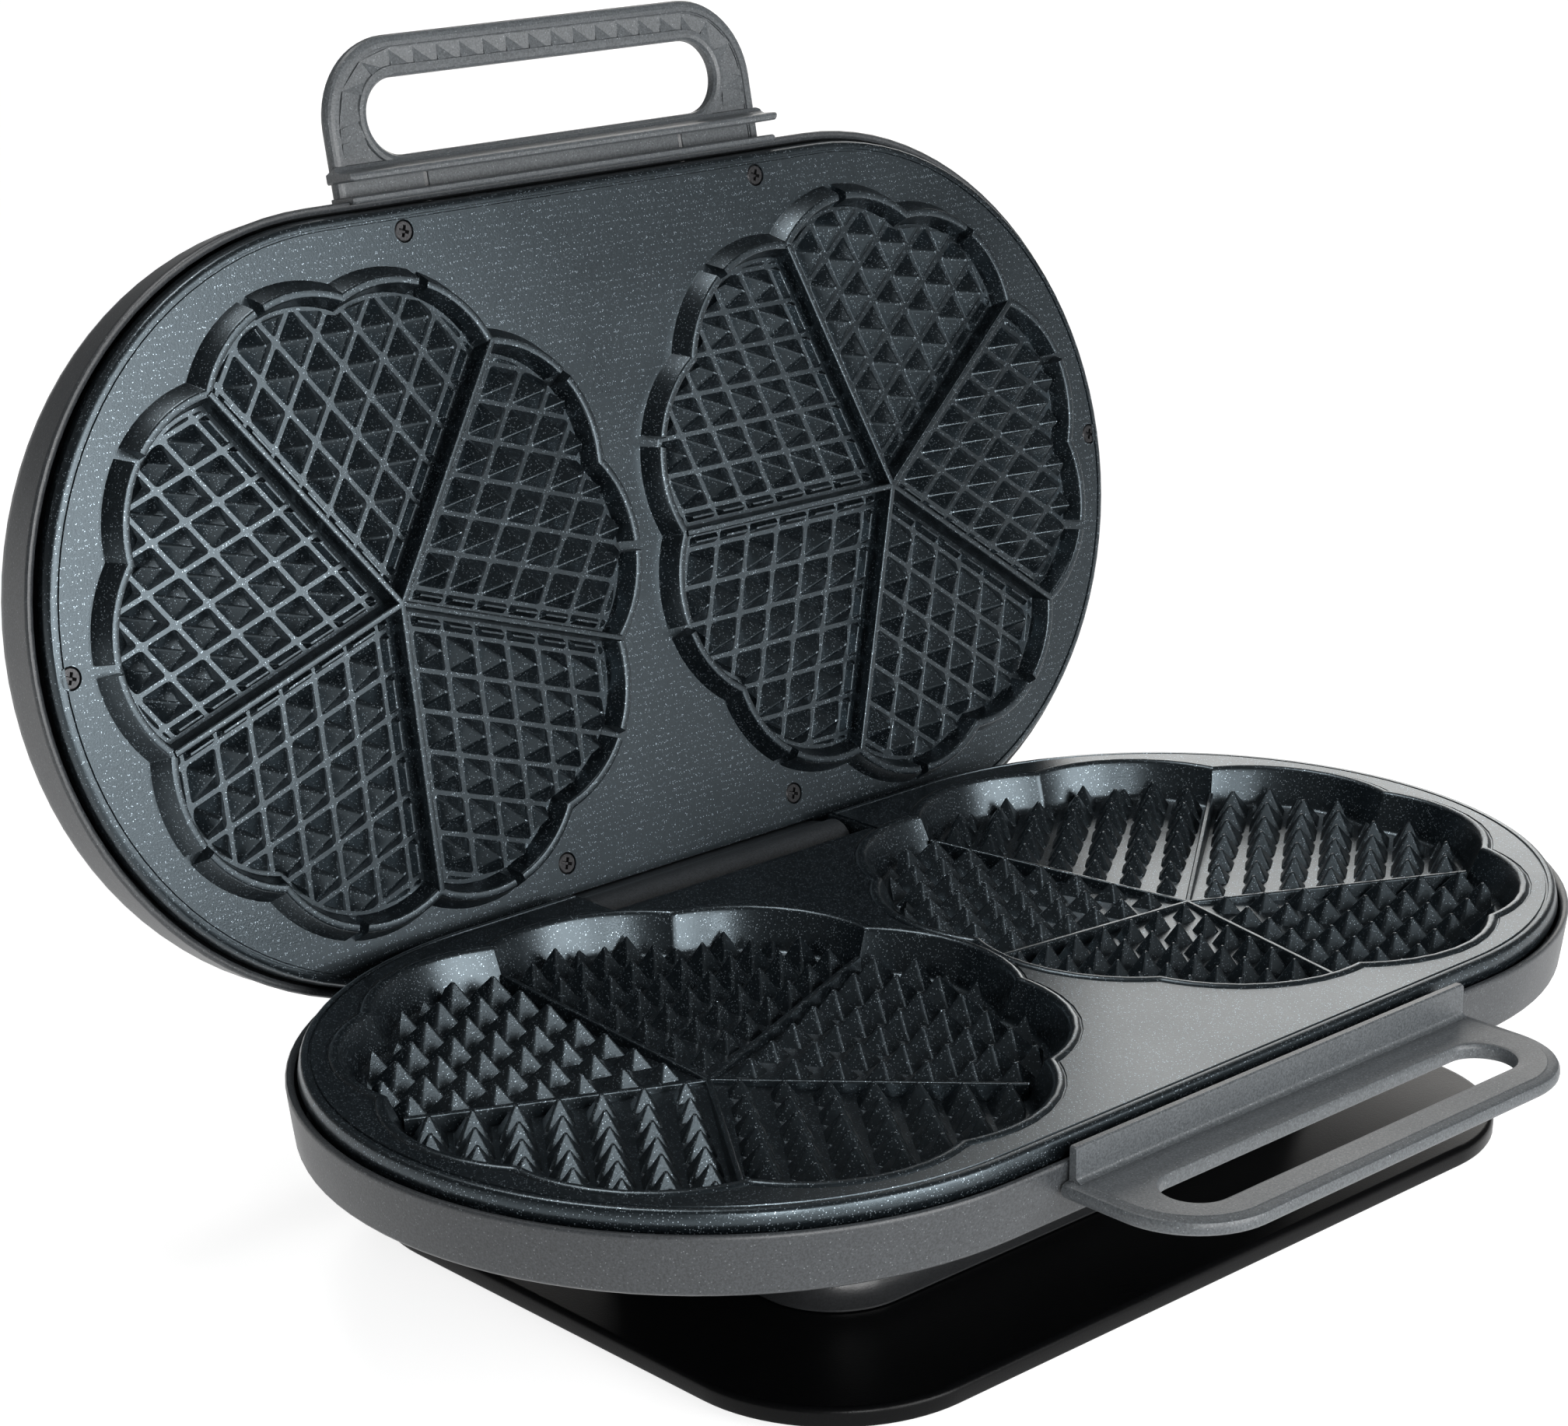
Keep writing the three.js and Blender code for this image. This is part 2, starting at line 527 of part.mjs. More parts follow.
/** Barrel that turns on the two pins, with the block that carries the lid. */
function hingeKnuckle() {
  const half = BARREL_LENGTH / 2;
  const barrel = rod('x', [-half, HINGE_Y, HINGE_Z], BARREL_LENGTH, BARREL_RADIUS, 40);
  const back = bandRadius(KNUCKLE_TOP - FACE_GAP) - SHELL_WALL - CLEAR;
  const web = block(-half + 0.5, half - 0.5, KNUCKLE_FRONT, back, HINGE_Z, KNUCKLE_TOP);
  const bores = [-1, 1].map((side) => pinHole(side));
  const screws = KNUCKLE_SCREW_X.map((x) =>
    rod('y', [x, HINGE_Y - 3, KNUCKLE_SCREW_Z], 12, SCREW_SHANK + CLEAR / 2, 10));
  return cutAll(barrel.add(web), [...bores, ...screws]);
}

const KNUCKLE_SCREW_X = [-34, 34];
const KNUCKLE_SCREW_Z = 13;

const knuckleScrew = (x) => screw('y', [x, bandRadius(0) + 2 + CLEAR, KNUCKLE_SCREW_Z], -1, 2, 9);

function lidPosts() {
  const low = mirrored(-PLATE_THICK) + CLEAR;
  return LID_SCREWS.map(([x, y]) => rod('z', [x, y, low], mirrored(-DOME_HEIGHT) - low - 1, 4.2, 16));
}

function lidHousing() {
  const top = mirrored(-DOME_HEIGHT);
  const band = bandRadius(BAND_LOW);
  const outer = [
    [RIM_RADIUS - 0.6, mirrored(-RIM_DROP)], [RIM_RADIUS, mirrored(-RIM_DROP) + 0.6],
    [band, mirrored(-BAND_LOW)], [band - 1.6, mirrored(-BAND_LOW) + 2],
    [band - 6, mirrored(-BAND_LOW) + 4.4], [band - 30, top - 1.2], [band - 60, top],
  ];
  const inner = [
    [RIM_RADIUS - SHELL_WALL, mirrored(-RIM_DROP) - 1], [RIM_RADIUS - SHELL_WALL, mirrored(-RIM_DROP) + 0.6],
    [band - SHELL_WALL, mirrored(-BAND_LOW)], [band - SHELL_WALL - 5, mirrored(-BAND_LOW) + 2.4],
    [band - 30, top - 1.2 - SHELL_WALL], [band - 60, top - SHELL_WALL],
  ];
  const envelope = stadiumLoft(outer);
  const cavity = cutAll(stadiumLoft(inner), lidPosts());
  const seatHalf = LID_STRIP_HALF + CLEAR;
  const seat = block(-seatHalf, seatHalf, -RIM_RADIUS * 2, -RIM_RADIUS + LID_SEAT, -10, 60);
  const holes = [
    ...LID_SCREWS.map(([x, y]) => rod('z', [x, y, 5], 12, SCREW_SHANK + CLEAR / 2, 10)),
    ...HANDLE_SCREW_X.map((x) =>
      rod('y', [x, -RIM_RADIUS - 2, mirrored(HANDLE_SCREW_Z)], 8, SCREW_SHANK + CLEAR, 10)),
    ...KNUCKLE_SCREW_X.map((x) =>
      rod('y', [x, RIM_RADIUS - 8, KNUCKLE_SCREW_Z], 12, SCREW_SHANK + CLEAR, 10)),
    rod('z', [KNOB.x, KNOB.y, top - 8], 12, SHAFT_RADIUS + CLEAR, 16),
    ...LAMPS.map(([x, y]) => rod('z', [x, y, top - 8], 12, LAMP_RADIUS + CLEAR, 20)),
  ];
  return cutAll(envelope.subtract(cavity), [seat, ...holes]);
}

const SHAFT_RADIUS = 3;
const LAMP_RADIUS = 4;
const LAMPS = [[-34, KNOB.y], [34, KNOB.y]];

/** Upper plate: slab with a lobed ridge round each waffle, vents, and crowned ribs. */
function upperPlate() {
  const face = FACE_GAP;
  const slab = stadiumLoft([[PLATE_RADIUS - 0.8, face], [PLATE_RADIUS, face + 0.8],
    [PLATE_RADIUS, face + PLATE_THICK]]);
  const [foot, landOut, landIn, inFoot] = RIDGE_OFFSETS;
  const crest = face - RIDGE_HEIGHT;
  const floor = face - UPPER_FLOOR_PROUD;
  const ribTop = face - UPPER_RIB_PROUD;
  const parts = WELLS.flatMap(([cx, turn]) => {
    const outside = wafflePlug(cx, turn, [foot, foot, landOut], [face + 1, face, crest]);
    const inside = wafflePlug(cx, turn, [landIn, landIn, inFoot], [crest - 1, crest, floor],
      floor - UPPER_DISH);
    const vents = Array.from({ length: 2 * HEARTS }, (_, k) =>
      ventCut(cx, turn + ((k + 0.5) * 180) / HEARTS, crest));
    return [cutAll(outside.subtract(inside), vents)];
  });
  const reach = RIB_NOTCH_RADIUS - landOut;
  const fins = WELLS.flatMap(([cx, turn]) => ribs(cx, turn, reach - 1.5,
    [floor + 0.8 - UPPER_DISH, floor + 0.8], [ribTop - UPPER_DISH, ribTop]));
  const cutout = block(-BARREL_LENGTH / 2 - 1, BARREL_LENGTH / 2 + 1, KNUCKLE_FRONT - CLEAR, 200, -20, 40);
  const screwHoles = LID_SCREWS.flatMap(([x, y]) => [
    rod('z', [x, y, face - 1], PLATE_THICK + 2, SCREW_SHANK + CLEAR, 10),
    rod('z', [x, y, face - 1], 1 + 2.2, SCREW_HEAD + CLEAR, 14),
  ]);
  return cutAll(joinAll([slab, ...parts, ...fins]), [cutout, ...screwHoles]);
}

/** Radial notch through the ridge for steam. */
function ventCut(cx, deg, crest) {
  const start = LOBE_MID_RADIUS - 12;
  const box = new THREE.BoxGeometry(16, VENT_WIDTH, 4).translate(start + 8, 0, crest);
  return solid(box.rotateZ(rad(deg)).translate(cx, 0, 0));
}

/** Flat-head screw that holds the upper plate, seen from the cooking side. */
function plateScrew([x, y]) {
  const face = FACE_GAP;
  const body = screw('z', [x, y, face + 0.25], 1, 1.7, 8);
  const slot = 3.6;
  const recess = [block(x - slot / 2, x + slot / 2, y - 0.5, y + 0.5, face - 1, face + 1.1),
    block(x - 0.5, x + 0.5, y - slot / 2, y + slot / 2, face - 1, face + 1.1)];
  return cutAll(body, recess);
}

function lidHandle() {
  const [z0, z1] = [mirrored(-HANDLE_DROP), mirrored(-HANDLE_DROP - HANDLE_THICK)];
  const root = RIM_RADIUS - LID_SEAT + CLEAR;
  const loop = handleLoop(LID_SLOT, root, z0, z1);
  const guard = block(-LID_GUARD_HALF, LID_GUARD_HALF, -LID_GUARD_Y - GUARD_THICK, -LID_GUARD_Y,
    LID_GUARD_LOW, z1);
  const strip = block(-LID_STRIP_HALF, LID_STRIP_HALF, -root - GUARD_THICK + 0.4, -root, LID_STRIP_LOW, z1);
  const holes = HANDLE_SCREW_X.map((x) =>
    rod('y', [x, -root - 9, mirrored(HANDLE_SCREW_Z)], 12, SCREW_SHANK + CLEAR / 2, 10));
  return cutAll(joinAll([loop, guard, strip]), holes);
}

const lidHandleScrew = (x) =>
  screw('y', [x, -bandRadius(-HANDLE_SCREW_Z) + SHELL_WALL + 2 + 2 * CLEAR, mirrored(HANDLE_SCREW_Z)], -1, 2, 10);

const UPPER_HEATER_Z = FACE_GAP + PLATE_THICK + CLEAR + HEATER_TUBE;
const UPPER_REFLECTOR_Z = UPPER_HEATER_Z + HEATER_TUBE + 2;

function lamp([x, y]) {
  const top = mirrored(-DOME_HEIGHT);
  const lens = new THREE.LatheGeometry([[0, -9], [LAMP_RADIUS, -9], [LAMP_RADIUS, CLEAR], [5.2, CLEAR],
    [5.2, 1.2], [3.6, 2.4], [0, 2.9]].map(([r, z]) => new THREE.Vector2(r, z)), 20);
  return lens.rotateX(Math.PI / 2).translate(x, y, top);
}

function knob() {
  const top = mirrored(-DOME_HEIGHT) + CLEAR;
  const { radius, height, x, y } = KNOB;
  const profile = [[0, 0], [radius, 0], [radius, 2.5], [radius * 0.78, 4], [radius * 0.72, height], [0, height]];
  const skirt = new THREE.LatheGeometry(profile.map(([r, z]) => new THREE.Vector2(r, z)), 36);
  skirt.rotateX(Math.PI / 2).translate(x, y, top);
  const bore = rod('z', [x, y, top - 1], 7, SHAFT_RADIUS + CLEAR, 16);
  return solid(skirt).subtract(bore);
}

const shaft = () => rod('z', [KNOB.x, KNOB.y, mirrored(-DOME_HEIGHT) - 7], 7 + 5.5, SHAFT_RADIUS, 16);

function regulator() {
  const top = mirrored(-DOME_HEIGHT) - 7 - CLEAR;
  const low = UPPER_REFLECTOR_Z + 0.8 + CLEAR;
  return block(KNOB.x - 13, KNOB.x + 13, KNOB.y - 9, KNOB.y + 9, low, top);
}

// ---------------------------------------------------------------- assembly

function add(group, name, material, shape) {
  const geometry = shape.getMesh ? surface(shape) : shape;
  const mesh = new THREE.Mesh(geometry, material);
  mesh.name = name;
  group.add(mesh);
}

function buildBase() {
  const base = new THREE.Group();
  add(base, 'foot_plate', SATIN_BLACK, footPlate());
  feetPlaces().forEach((place, i) => add(base, `rubber_foot_${i + 1}`, RUBBER_BLACK, rubberFoot(place)));
  add(base, 'pedestal', SATIN_BLACK, pedestal());
  add(base, 'cord_gland', RUBBER_BLACK, cordGland());
  add(base, 'base_housing', HOUSING, baseHousing());
  add(base, 'base_handle', HOUSING, baseHandle());
  add(base, 'lower_plate', NONSTICK, lowerPlate());
  ['left', 'right'].forEach((side, i) => {
    const sign = i === 0 ? -1 : 1;
    add(base, `lower_heater_${side}`, HEATER_STEEL, heater((sign * WELL_SPACING) / 2, LOWER_HEATER_Z));
    add(base, `heater_lead_${side}`, INSULATION, lead(sign));
    add(base, `hinge_pin_${side}`, STEEL, hingePin(sign));
    add(base, `base_handle_screw_${side}`, DARK_STEEL, handleScrew(HANDLE_SCREW_X[i]));
  });
  add(base, 'lower_reflector', REFLECTOR, reflector(LOWER_REFLECTOR_Z, 60,
    [[0, 0, 24, 24], [0, -LOWER_POST_Y, 7, 20], [0, LOWER_POST_Y, 7, 20]]));
  add(base, 'lower_thermostat', CERAMIC, thermostatDisc(0, 51, -PLATE_THICK - CLEAR, 9));
  add(base, 'thermal_fuse', CERAMIC, rod('y', [0, -62, -PLATE_THICK - CLEAR - 3], 18, 3, 12));
  add(base, 'terminal_block', CERAMIC, terminalBlock());
  [-LOWER_POST_Y, LOWER_POST_Y].forEach((y, i) => add(base, `lower_plate_screw_${i + 1}`, DARK_STEEL,
    screw('z', [0, y, -BELLY_DROP - 2 - CLEAR], 1, 2, BELLY_DROP - PLATE_THICK + 2.2)));
  pedestalScrews().forEach(([x, y], i) => add(base, `pedestal_screw_${i + 1}`, DARK_STEEL,
    screw('z', [x, y, FOOT.top - FOOT.thick + 0.3], 1, 1.8, 12)));
  pedestalScrews().forEach(([x, y], i) => add(base, `housing_screw_${i + 1}`, DARK_STEEL,
    screw('z', [x, y, -BELLY_DROP + SHELL_WALL + 1.8 + CLEAR], -1, 1.8, 11)));
  return base;
}

function buildLid() {
  const lid = new THREE.Group();
  add(lid, 'lid_housing', HOUSING, lidHousing());
  add(lid, 'upper_plate', NONSTICK, upperPlate());
  add(lid, 'lid_handle', HOUSING, lidHandle());
  add(lid, 'hinge_knuckle', HOUSING, hingeKnuckle());
  LID_SCREWS.forEach((place, i) => add(lid, `plate_screw_${i + 1}`, DARK_STEEL, plateScrew(place)));
  ['left', 'right'].forEach((side, i) => {
    const sign = i === 0 ? -1 : 1;
    add(lid, `upper_heater_${side}`, HEATER_STEEL, heater((sign * WELL_SPACING) / 2, UPPER_HEATER_Z));
    add(lid, `knuckle_screw_${side}`, DARK_STEEL, knuckleScrew(KNUCKLE_SCREW_X[i]));
    add(lid, `lid_handle_screw_${side}`, DARK_STEEL, lidHandleScrew(HANDLE_SCREW_X[i]));
  });
  add(lid, 'upper_reflector', REFLECTOR, reflector(UPPER_REFLECTOR_Z + 0.8, 74, []));
  add(lid, 'power_lamp', RED_LENS, lamp(LAMPS[0]));
  add(lid, 'ready_lamp', GREEN_LENS, lamp(LAMPS[1]));
  add(lid, 'browning_regulator', CERAMIC, regulator());
  add(lid, 'regulator_shaft', STEEL, shaft());
  add(lid, 'browning_knob', SATIN_BLACK, knob());
  return lid;
}

/** Swings the closed lid open about the hinge axis. */
function opened(lid) {
  const swing = new THREE.Group();
  lid.position.set(0, -HINGE_Y, -HINGE_Z);
  swing.add(lid);
  swing.rotation.x = -rad(OPEN_ANGLE);
  swing.position.set(0, HINGE_Y, HINGE_Z);
  return swing;
}

const model = new THREE.Group();
model.add(buildBase(), opened(buildLid()));
model.updateMatrixWorld(true);
const extent = new THREE.Box3().setFromObject(model, true);
model.position.set(-(extent.min.x + extent.max.x) / 2, -(extent.min.y + extent.max.y) / 2, -extent.min.z);
model.updateMatrixWorld(true);

export default model;
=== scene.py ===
"""Double heart-waffle maker, standing open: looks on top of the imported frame.

Lengths are millimetres measured from the cooking face of the lower plate, as in the CAD; place() turns
them into metres in the shared frame. The lid's pieces are built closed and swung open by place().
"""

import json
import math

import bmesh
import bpy
import numpy as np
from mathutils import Matrix, Vector, geometry


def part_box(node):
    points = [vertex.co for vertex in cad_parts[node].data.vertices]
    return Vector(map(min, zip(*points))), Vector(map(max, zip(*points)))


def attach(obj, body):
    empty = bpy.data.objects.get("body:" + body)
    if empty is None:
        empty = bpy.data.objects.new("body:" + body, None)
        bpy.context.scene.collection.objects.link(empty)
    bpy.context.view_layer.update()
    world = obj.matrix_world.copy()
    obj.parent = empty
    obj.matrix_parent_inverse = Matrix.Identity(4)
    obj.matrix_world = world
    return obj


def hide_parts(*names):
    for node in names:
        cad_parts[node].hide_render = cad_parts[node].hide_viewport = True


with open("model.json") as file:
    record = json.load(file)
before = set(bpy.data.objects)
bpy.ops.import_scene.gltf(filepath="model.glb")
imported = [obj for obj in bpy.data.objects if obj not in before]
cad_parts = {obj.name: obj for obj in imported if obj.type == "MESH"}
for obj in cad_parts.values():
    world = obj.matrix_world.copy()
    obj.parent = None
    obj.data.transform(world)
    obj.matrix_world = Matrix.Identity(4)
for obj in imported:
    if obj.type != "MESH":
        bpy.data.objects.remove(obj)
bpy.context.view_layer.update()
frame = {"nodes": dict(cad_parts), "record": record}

# ------------------------------------------------------------------ sizes (mm, degrees)

HINGE_Y = 101.4       # hinge axis
HINGE_Z = -7.5
OPEN = 102            # lid's angle at rest
END = 94              # half length of the straight sides of the stadium outlines
FACE_GAP = 3.5        # between the two cooking faces when closed
WELL_X = 95           # waffle centres
TURN = {-1: 90, 1: 180}   # direction of one rib, for the left and the right waffle
S72 = math.sin(math.radians(72))
C72 = math.cos(math.radians(72))
SHARP = 38            # edges steeper than this stay sharp

pin_lo, pin_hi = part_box("hinge_pin_left")
ORIGIN = np.array([
    0.0,
    (pin_lo[1] + pin_hi[1]) * 500 - HINGE_Y,
    (pin_lo[2] + pin_hi[2]) * 500 - HINGE_Z,
])


def place(points, lid):
    """Millimetre points to metres in the shared frame, swung open with the lid if asked."""
    p = np.array(points, dtype=float).reshape(-1, 3)
    if lid:
        y, z = p[:, 1] - HINGE_Y, p[:, 2] - HINGE_Z
        c, s = math.cos(math.radians(OPEN)), math.sin(math.radians(OPEN))
        p[:, 1], p[:, 2] = c * y + s * z + HINGE_Y, -s * y + c * z + HINGE_Z
    return (p + ORIGIN) / 1000


# ------------------------------------------------------------------ mesh building

class Shape:
    """Points and faces in millimetres. Rings run counter-clockwise seen from above."""

    def __init__(self):
        self.points, self.faces = [], []

    def add(self, points, faces):
        """Points, and faces that index them."""
        base = len(self.points)
        self.points += [tuple(p) for p in points]
        self.faces += [[i + base for i in f] for f in faces]

    def loft(self, rings, closed=True):
        """Skin through rings of equal length."""
        n = len(rings[0])
        faces = []
        for k in range(len(rings) - 1):
            for i in range(n if closed else n - 1):
                j = (i + 1) % n
                faces.append([k * n + i, k * n + j, (k + 1) * n + j, (k + 1) * n + i])
        self.add([p for r in rings for p in r], faces)

    def cap(self, ring, up=True):
        """One face over a ring."""
        order = list(range(len(ring)))
        self.add(ring, [order if up else order[::-1]])

    def flat(self, outer, holes, z, up=True):
        """Flat face between an outline and holes, at one height."""
        loops = [[Vector((x, y, 0)) for x, y in loop] for loop in [outer, *holes]]
        flat = [p for loop in loops for p in loop]
        faces = []
        for a, b, c in geometry.tessellate_polygon(loops):
            area = (flat[b] - flat[a]).cross(flat[c] - flat[a]).z
            if abs(area) > 1e-9:
                faces.append([a, b, c] if (area > 0) == up else [a, c, b])
        self.add([(p.x, p.y, z) for p in flat], faces)

    def mirrored(self):
        """The same shape for the lid: height above the lower face becomes height above the lid's face."""
        other = Shape()
        other.points = [(x, y, FACE_GAP - z) for x, y, z in self.points]
        other.faces = [f[::-1] for f in self.faces]
        return other


def mesh_of(name, shape, lid, weld):
    """Blender mesh of a shape, with points closer than weld (metres) merged."""
    mesh = bpy.data.meshes.new(name)
    mesh.from_pydata(place(shape.points, lid).tolist(), [], shape.faces)
    if weld:
        bm = bmesh.new()
        bm.from_mesh(mesh)
        bmesh.ops.remove_doubles(bm, verts=bm.verts, dist=weld)
        bmesh.ops.dissolve_degenerate(bm, edges=bm.edges, dist=1e-6)
        bm.to_mesh(mesh)
        bm.free()
    return mesh


def linked(name, data):
    """New object in the scene."""
    obj = bpy.data.objects.new(name, data)
    bpy.context.scene.collection.objects.link(obj)
    return obj


def shade(obj, sharp, weighted=True):
    """Smooth shading with sharp creases, and normals weighted by face area."""
    obj.data.shade_smooth()
    obj.data.set_sharp_from_angle(angle=math.radians(sharp))
    if weighted:
        normals = obj.modifiers.new("normals", "WEIGHTED_NORMAL")
        normals.keep_sharp = True


def make(name, shape, material, body, replaces=(), weld=2e-6, sharp=SHARP, weighted=True, holes=()):
    """A Blender object from a shape, riding on a body, with boxes cut out of it."""
    lid = body != "base"
    obj = linked(name, mesh_of(name, shape, lid, weld))
    obj.data.materials.append(material)
    if holes:
        cut(obj, holes, lid)
    shade(obj, sharp, weighted)
    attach(obj, body)
    if replaces:
        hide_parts(*replaces)
    return obj


def box(low, high):
    """Closed box between two corners."""
    shape = Shape()
    x0, y0, z0 = low
    x1, y1, z1 = high
    corners = [(x0, y0), (x1, y0), (x1, y1), (x0, y1)]
    shape.loft([at(corners, z0), at(corners, z1)])
    shape.cap(at(corners, z0), up=False)
    shape.cap(at(corners, z1))
    return shape


def cut(obj, holes, lid):
    """Subtracts boxes, given as (low corner, high corner) in millimetres, from an object's mesh."""
    tools = []
    for low, high in holes:
        tool = linked("tool", mesh_of("tool", box(low, high), lid, 1e-6))
        tools.append(tool)
        boolean = obj.modifiers.new("cut", "BOOLEAN")
        boolean.operation = "DIFFERENCE"
        boolean.solver = "EXACT"
        boolean.object = tool
    bpy.context.view_layer.update()
    graph = bpy.context.evaluated_depsgraph_get()
    result = bpy.data.meshes.new_from_object(obj.evaluated_get(graph))
    obj.modifiers.clear()
    whole = obj.data
    obj.data = result
    bpy.data.meshes.remove(whole)
    for tool in tools:
        data = tool.data
        bpy.data.objects.remove(tool)
        bpy.data.meshes.remove(data)


# ------------------------------------------------------------------ outlines

def polar(r, deg):
    return r * math.cos(math.radians(deg)), r * math.sin(math.radians(deg))


def stadium(r, steps=48):
    """Oblong outline with round ends of radius r."""
    ring = []
    for cx, start in ((END, -90), (-END, 90)):
        for i in range(steps + 1):
            x, y = polar(r, start + 180 * i / steps)
            ring.append((cx + x, y))
    return ring


def rounded(x0, x1, y0, y1, r, steps=12):
    """Rectangle with round corners."""
    ring = []
    centres = [(x1 - r, y1 - r), (x0 + r, y1 - r), (x0 + r, y0 + r), (x1 - r, y0 + r)]
    for quarter, (cx, cy) in enumerate(centres):
        for i in range(steps + 1):
            x, y = polar(r, 90 * quarter + 90 * i / steps)
            ring.append((cx + x, cy + y))
    return ring


def circle(cx, cy, r, steps=28):
    ring = [polar(r, 360 * i / steps) for i in range(steps)]
    return [(cx + x, cy + y) for x, y in ring]


def at(ring, z):
    """A flat outline at a height."""
    return [(x, y, z) for x, y in ring]


NOTCH_R = 87.75       # waffle outline: radius at a notch between two hearts,
MID_R = 95.0          # at the middle of a lobe,
CLEFT_R = 90.6        # and at the cleft of a heart


def lobe_circle():
    """Circle through a notch, the middle of its lobe and the cleft: centre and radius."""
    (ax, ay), (bx, by), (cx, cy) = polar(NOTCH_R, -18), (MID_R, 0), polar(CLEFT_R, 18)
    d = 2 * (ax * (by - cy) + bx * (cy - ay) + cx * (ay - by))
    a2, b2, c2 = ax * ax + ay * ay, bx * bx + by * by, cx * cx + cy * cy
    x = (a2 * (by - cy) + b2 * (cy - ay) + c2 * (ay - by)) / d
    y = (a2 * (cx - bx) + b2 * (ax - cx) + c2 * (bx - ax)) / d
    return x, y, math.hypot(ax - x, ay - y)


LOBE = lobe_circle()


def reach(theta, inset=0.0):
    """Radius of the waffle outline at an angle from a rib, inset by a distance."""
    theta %= 72
    alpha = math.radians(theta - 18 if theta <= 36 else 54 - theta)
    ox, oy, r = LOBE
    r -= inset
    along = ox * math.cos(alpha) + oy * math.sin(alpha)
    return along + math.sqrt(max(0.0, along * along - (ox * ox + oy * oy - r * r)))


def lobe_angles(steps=12):
    """Angles round a waffle, from a rib, closer together near the cusps."""
    one = [18 * (1 - math.cos(math.pi * i / steps)) for i in range(steps)]
    return [k * 36 + a for k in range(10) for a in one]


def waffle(side, inset):
    """Outline of the left (-1) or right (1) waffle, inset by a distance."""
    out = []
    for theta in lobe_angles():
        x, y = polar(reach(theta, inset), theta + TURN[side])
        out.append((side * WELL_X + x, y))
    return out


# ------------------------------------------------------------------ waffle pattern

SUNK = 0.02           # cells start this far below the floor


class Floor:
    """Dished floor of a waffle: height at the centre, and how much higher it is at radius 87."""

    def __init__(self, centre, dish):
        self.centre, self.dish = centre, dish

    def __call__(self, x, y):
        return self.centre + self.dish * min(1.0, math.hypot(x, y) / 87)


def toward(a, b, distance):
    """The point a distance from a on the way to b."""
    length = max(1e-6, math.hypot(b[0] - a[0], b[1] - a[1]))
    return a[0] + (b[0] - a[0]) * distance / length, a[1] + (b[1] - a[1]) * distance / length


def cell(s0, s1, t0, t1, profile, round_to):
    """Rings of one raised cell with rounded corners, as (x, y, h); s and t run along two ribs."""
    rings = []
    for d, h in profile:
        e = d / S72
        a0, a1, b0, b1 = s0 + e, s1 - e, t0 + e, t1 - e
        corners = [(a0, b0), (a1, b0), (a1, b1), (a0, b1)]
        c = min(round_to, 0.36 * min(a1 - a0, b1 - b0))
        ring = []
        for k in range(4):
            p, q, r = corners[k - 1], corners[k], corners[(k + 1) % 4]
            u, v = toward(q, p, c), toward(q, r, c)
            for f in (0, 0.25, 0.5, 0.75, 1):
                from_u, from_q, from_v = (1 - f) ** 2, 2 * f * (1 - f), f ** 2
                ring.append(tuple(u[m] * from_u + q[m] * from_q + v[m] * from_v for m in (0, 1)))
        rings.append([(s + t * C72, t * S72, h) for s, t in ring])
    return rings


def ring_faces(rings):
    """Faces of stacked rings, with a flat cap, as lists of points."""
    faces = []
    for low, high in zip(rings, rings[1:]):
        n = len(low)
        faces += [[low[i], low[(i + 1) % n], high[(i + 1) % n], high[i]] for i in range(n)]
    faces.append(list(rings[-1]))
    return faces


def offset(p, line):
    """Twice the area between a point and a line (ax, ay, bx, by): positive to its left."""
    ax, ay, bx, by = line
    return (bx - ax) * (p[1] - ay) - (by - ay) * (p[0] - ax)


def clip(face, lines):
    """The part of a face to the left of every line; fewer than three points if nothing is left."""
    for line in lines:
        if len(face) < 3:
            break
        out = []
        for k, p in enumerate(face):
            q = face[(k + 1) % len(face)]
            here, there = offset(p, line), offset(q, line)
            if here >= 0:
                out.append(p)
            if (here >= 0) != (there >= 0):
                f = here / (here - there)
                out.append(tuple(p[m] + (q[m] - p[m]) * f for m in range(3)))
        face = out
    return face


def heart_halves(inset):
    """The halves of a heart, each as its centre line and outline, with the inside left of the lines."""
    mid = polar(1, 36)
    halves = []
    for start, centre_line in ((0, (*mid, 0, 0)), (36, (0, 0, *mid))):
        angles = [start + 36 * i / 14 for i in range(15)]
        arc = [polar(reach(min(71.999, max(0.001, a)), inset), a) for a in angles]
        halves.append((centre_line, [(*a, *b) for a, b in zip(arc, arc[1:])]))
    return halves


def within(ring, inset):
    """True if a ring lies wholly inside the outline of its heart."""
    for x, y, _ in ring:
        angle = min(71.99, max(0.01, math.degrees(math.atan2(y, x))))
        if math.hypot(x, y) >= reach(angle, inset) - 0.01:
            return False
    return True


def cut_walls(piece, outline):
    """Upright faces below those edges of a clipped face that lie on the outline."""
    walls = []
    for k, p in enumerate(piece):
        q = piece[(k + 1) % len(piece)]
        if p[2] < SUNK and q[2] < SUNK:
            continue
        for line in outline:
            near = 1e-5 * math.hypot(line[2] - line[0], line[3] - line[1])
            if all(abs(offset(w, line)) < near for w in (p, q)):
                walls.append([q, p, (p[0], p[1], 0), (q[0], q[1], 0)])
                break
    return walls


def heart_faces(cells, inset, floor):
    """All faces of one heart's cells, cut to the outline, standing on the floor."""
    faces = []
    for rings in cells:
        raw = ring_faces(rings)
        if within(rings[0], inset):
            faces += raw
            continue
        for centre_line, outline in heart_halves(inset):
            for face in raw:
                piece = clip(face, [centre_line, *outline])
                if len(piece) >= 3:
                    faces.append(piece)
                    faces += cut_walls(piece, outline)
    return [[(x, y, h - SUNK + floor(x, y)) for x, y, h in f] for f in faces]


